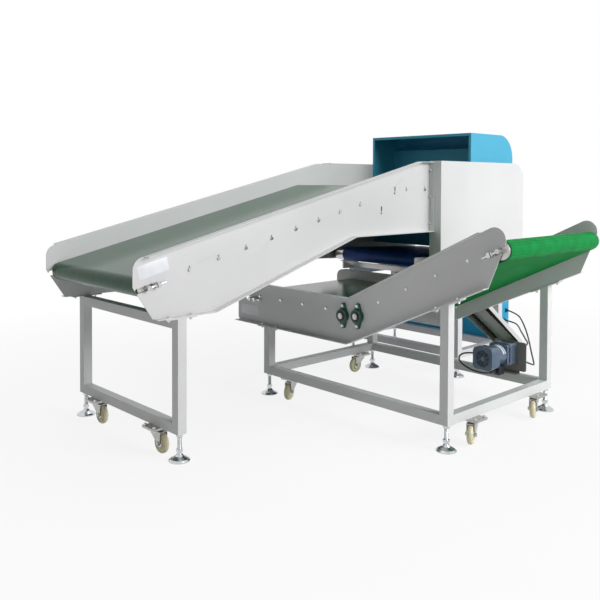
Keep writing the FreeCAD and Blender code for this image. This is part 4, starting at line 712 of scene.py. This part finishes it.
# %% Cabinet door
cabinet_low, cabinet_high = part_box("control_cabinet")
door = bmesh.new()
door_margin = 22 * MM
door_thick = 3 * MM
door_middle = Vector((cabinet_high.x + door_thick / 2, (cabinet_low.y + cabinet_high.y) / 2,
                      (cabinet_low.z + cabinet_high.z) / 2))
door_size = (door_thick, cabinet_high.y - cabinet_low.y - 2 * door_margin,
             cabinet_high.z - cabinet_low.z - 2 * door_margin)
block(door, door_middle, door_size, across_x, across_y, 1.2)
finished("cabinet_door", door, cabinet_powder, "frame", 35)
fittings = bmesh.new()
door_face = Vector((cabinet_high.x + door_thick, 0.0, 0.0))
for share in (0.25, 0.75):
    height = cabinet_low.z + share * (cabinet_high.z - cabinet_low.z)
    lock = door_face + across_y * (cabinet_high.y - 2.6 * door_margin) + upright * height
    turned(fittings, [(0.0, 0.0), (0.0, 13.0), (2.0, 13.0), (3.0, 11.5), (3.0, 7.0), (1.4, 6.4), (1.4, 0.0)],
           lock, across_x, 32)
    block(fittings, lock + across_x * 1.8 * MM, (2.4 * MM, 11.0 * MM, 3.0 * MM), across_x, across_y, 0.4)
    hinge = door_face + across_y * (cabinet_low.y + door_margin) + upright * height
    turned(fittings, [(-28.0, 0.0), (-28.0, 5.0), (-27.0, 6.0), (-0.6, 6.0), (-0.6, 5.2), (0.6, 5.2),
                      (0.6, 6.0), (27.0, 6.0), (28.0, 5.0), (28.0, 0.0)],
           hinge + across_x * 2.0 * MM, upright, 24)
finished("cabinet_door_fittings", fittings, passivated_zinc, "frame", 35)

# %% [markdown]
# ## Floor, backdrop and lamps
#
# The machine stands on a plain white studio floor. A floor bright enough to look white under the lamps would
# take more light than the machine should have, so rays from the camera see part of the floor as a white glow,
# and the machine's own shadow still falls on the rest. Far away the glow takes over, and the horizon is gone.

# %% Floor
floor_mesh = bmesh.new()
bmesh.ops.create_grid(floor_mesh, x_segments=1, y_segments=1, size=40.0)
floor_data = bpy.data.meshes.new("studio_floor")
floor_mesh.to_mesh(floor_data)
floor_mesh.free()
floor = bpy.data.objects.new("studio_floor", floor_data)
bpy.context.scene.collection.objects.link(floor)
floor_material, floor_tree, floor_place = start_material("white_studio_floor")
path = add_node(floor_tree, "ShaderNodeLightPath", {})
distance = add_node(floor_tree, "ShaderNodeVectorMath", {0: floor_place}, operation="LENGTH")
fade = add_node(floor_tree, "ShaderNodeMapRange", {"Value": distance.outputs["Value"], "From Min": 1.5,
                                                   "From Max": 4.5, "To Min": 0.86, "To Max": 1.0})
seen = add_node(floor_tree, "ShaderNodeMath", {0: path.outputs["Is Camera Ray"],
                                               1: path.outputs["Is Glossy Ray"]}, operation="MAXIMUM")
share = add_node(floor_tree, "ShaderNodeMath", {0: seen.outputs["Value"], 1: fade.outputs["Result"]},
                 operation="MULTIPLY")
matt = add_node(floor_tree, "ShaderNodeBsdfDiffuse", {"Color": linear("F2F2F2")})
glow = add_node(floor_tree, "ShaderNodeEmission", {"Color": (1.0, 1.0, 1.0, 1.0), "Strength": 1.0})
mixed = add_node(floor_tree, "ShaderNodeMixShader", {0: share.outputs["Value"], 1: matt.outputs["BSDF"],
                                                     2: glow.outputs["Emission"]})
add_node(floor_tree, "ShaderNodeOutputMaterial", {"Surface": mixed.outputs["Shader"]})
floor_data.materials.append(floor_material)

# %% World and lamps
world = bpy.data.worlds.new("studio_room")
bpy.context.scene.world = world
world.use_nodes = True
room = world.node_tree
room.nodes.clear()
path = add_node(room, "ShaderNodeLightPath", {})
seen = add_node(room, "ShaderNodeMath", {0: path.outputs["Is Camera Ray"], 1: path.outputs["Is Glossy Ray"]},
                operation="MAXIMUM")
light = add_node(room, "ShaderNodeBackground", {"Color": (1.0, 1.0, 1.0, 1.0), "Strength": 0.23})
white = add_node(room, "ShaderNodeBackground", {"Color": (1.0, 1.0, 1.0, 1.0), "Strength": 1.0})
mixed = add_node(room, "ShaderNodeMixShader", {0: seen.outputs["Value"], 1: light.outputs["Background"],
                                               2: white.outputs["Background"]})
add_node(room, "ShaderNodeOutputWorld", {"Surface": mixed.outputs["Shader"]})


def softbox(name, place, target, size, power):
    lamp = bpy.data.lights.new(name, "AREA")
    lamp.shape = "SQUARE"
    lamp.size = size
    lamp.energy = power
    stand = bpy.data.objects.new(name, lamp)
    bpy.context.scene.collection.objects.link(stand)
    aim = (Vector(target) - Vector(place)).to_track_quat("-Z", "Y").to_matrix().to_4x4()
    stand.matrix_world = Matrix.Translation(place) @ aim


softbox("key_softbox", (1.4, -6.4, 3.8), (0.0, 0.0, 0.7), 3.0, 345.0)
softbox("side_softbox", (4.5, -5.5, 3.2), (0.0, 0.0, 0.7), 2.0, 60.0)
softbox("top_softbox", (0.5, 0.5, 5.5), (0.0, 0.0, 0.7), 4.0, 60.0)
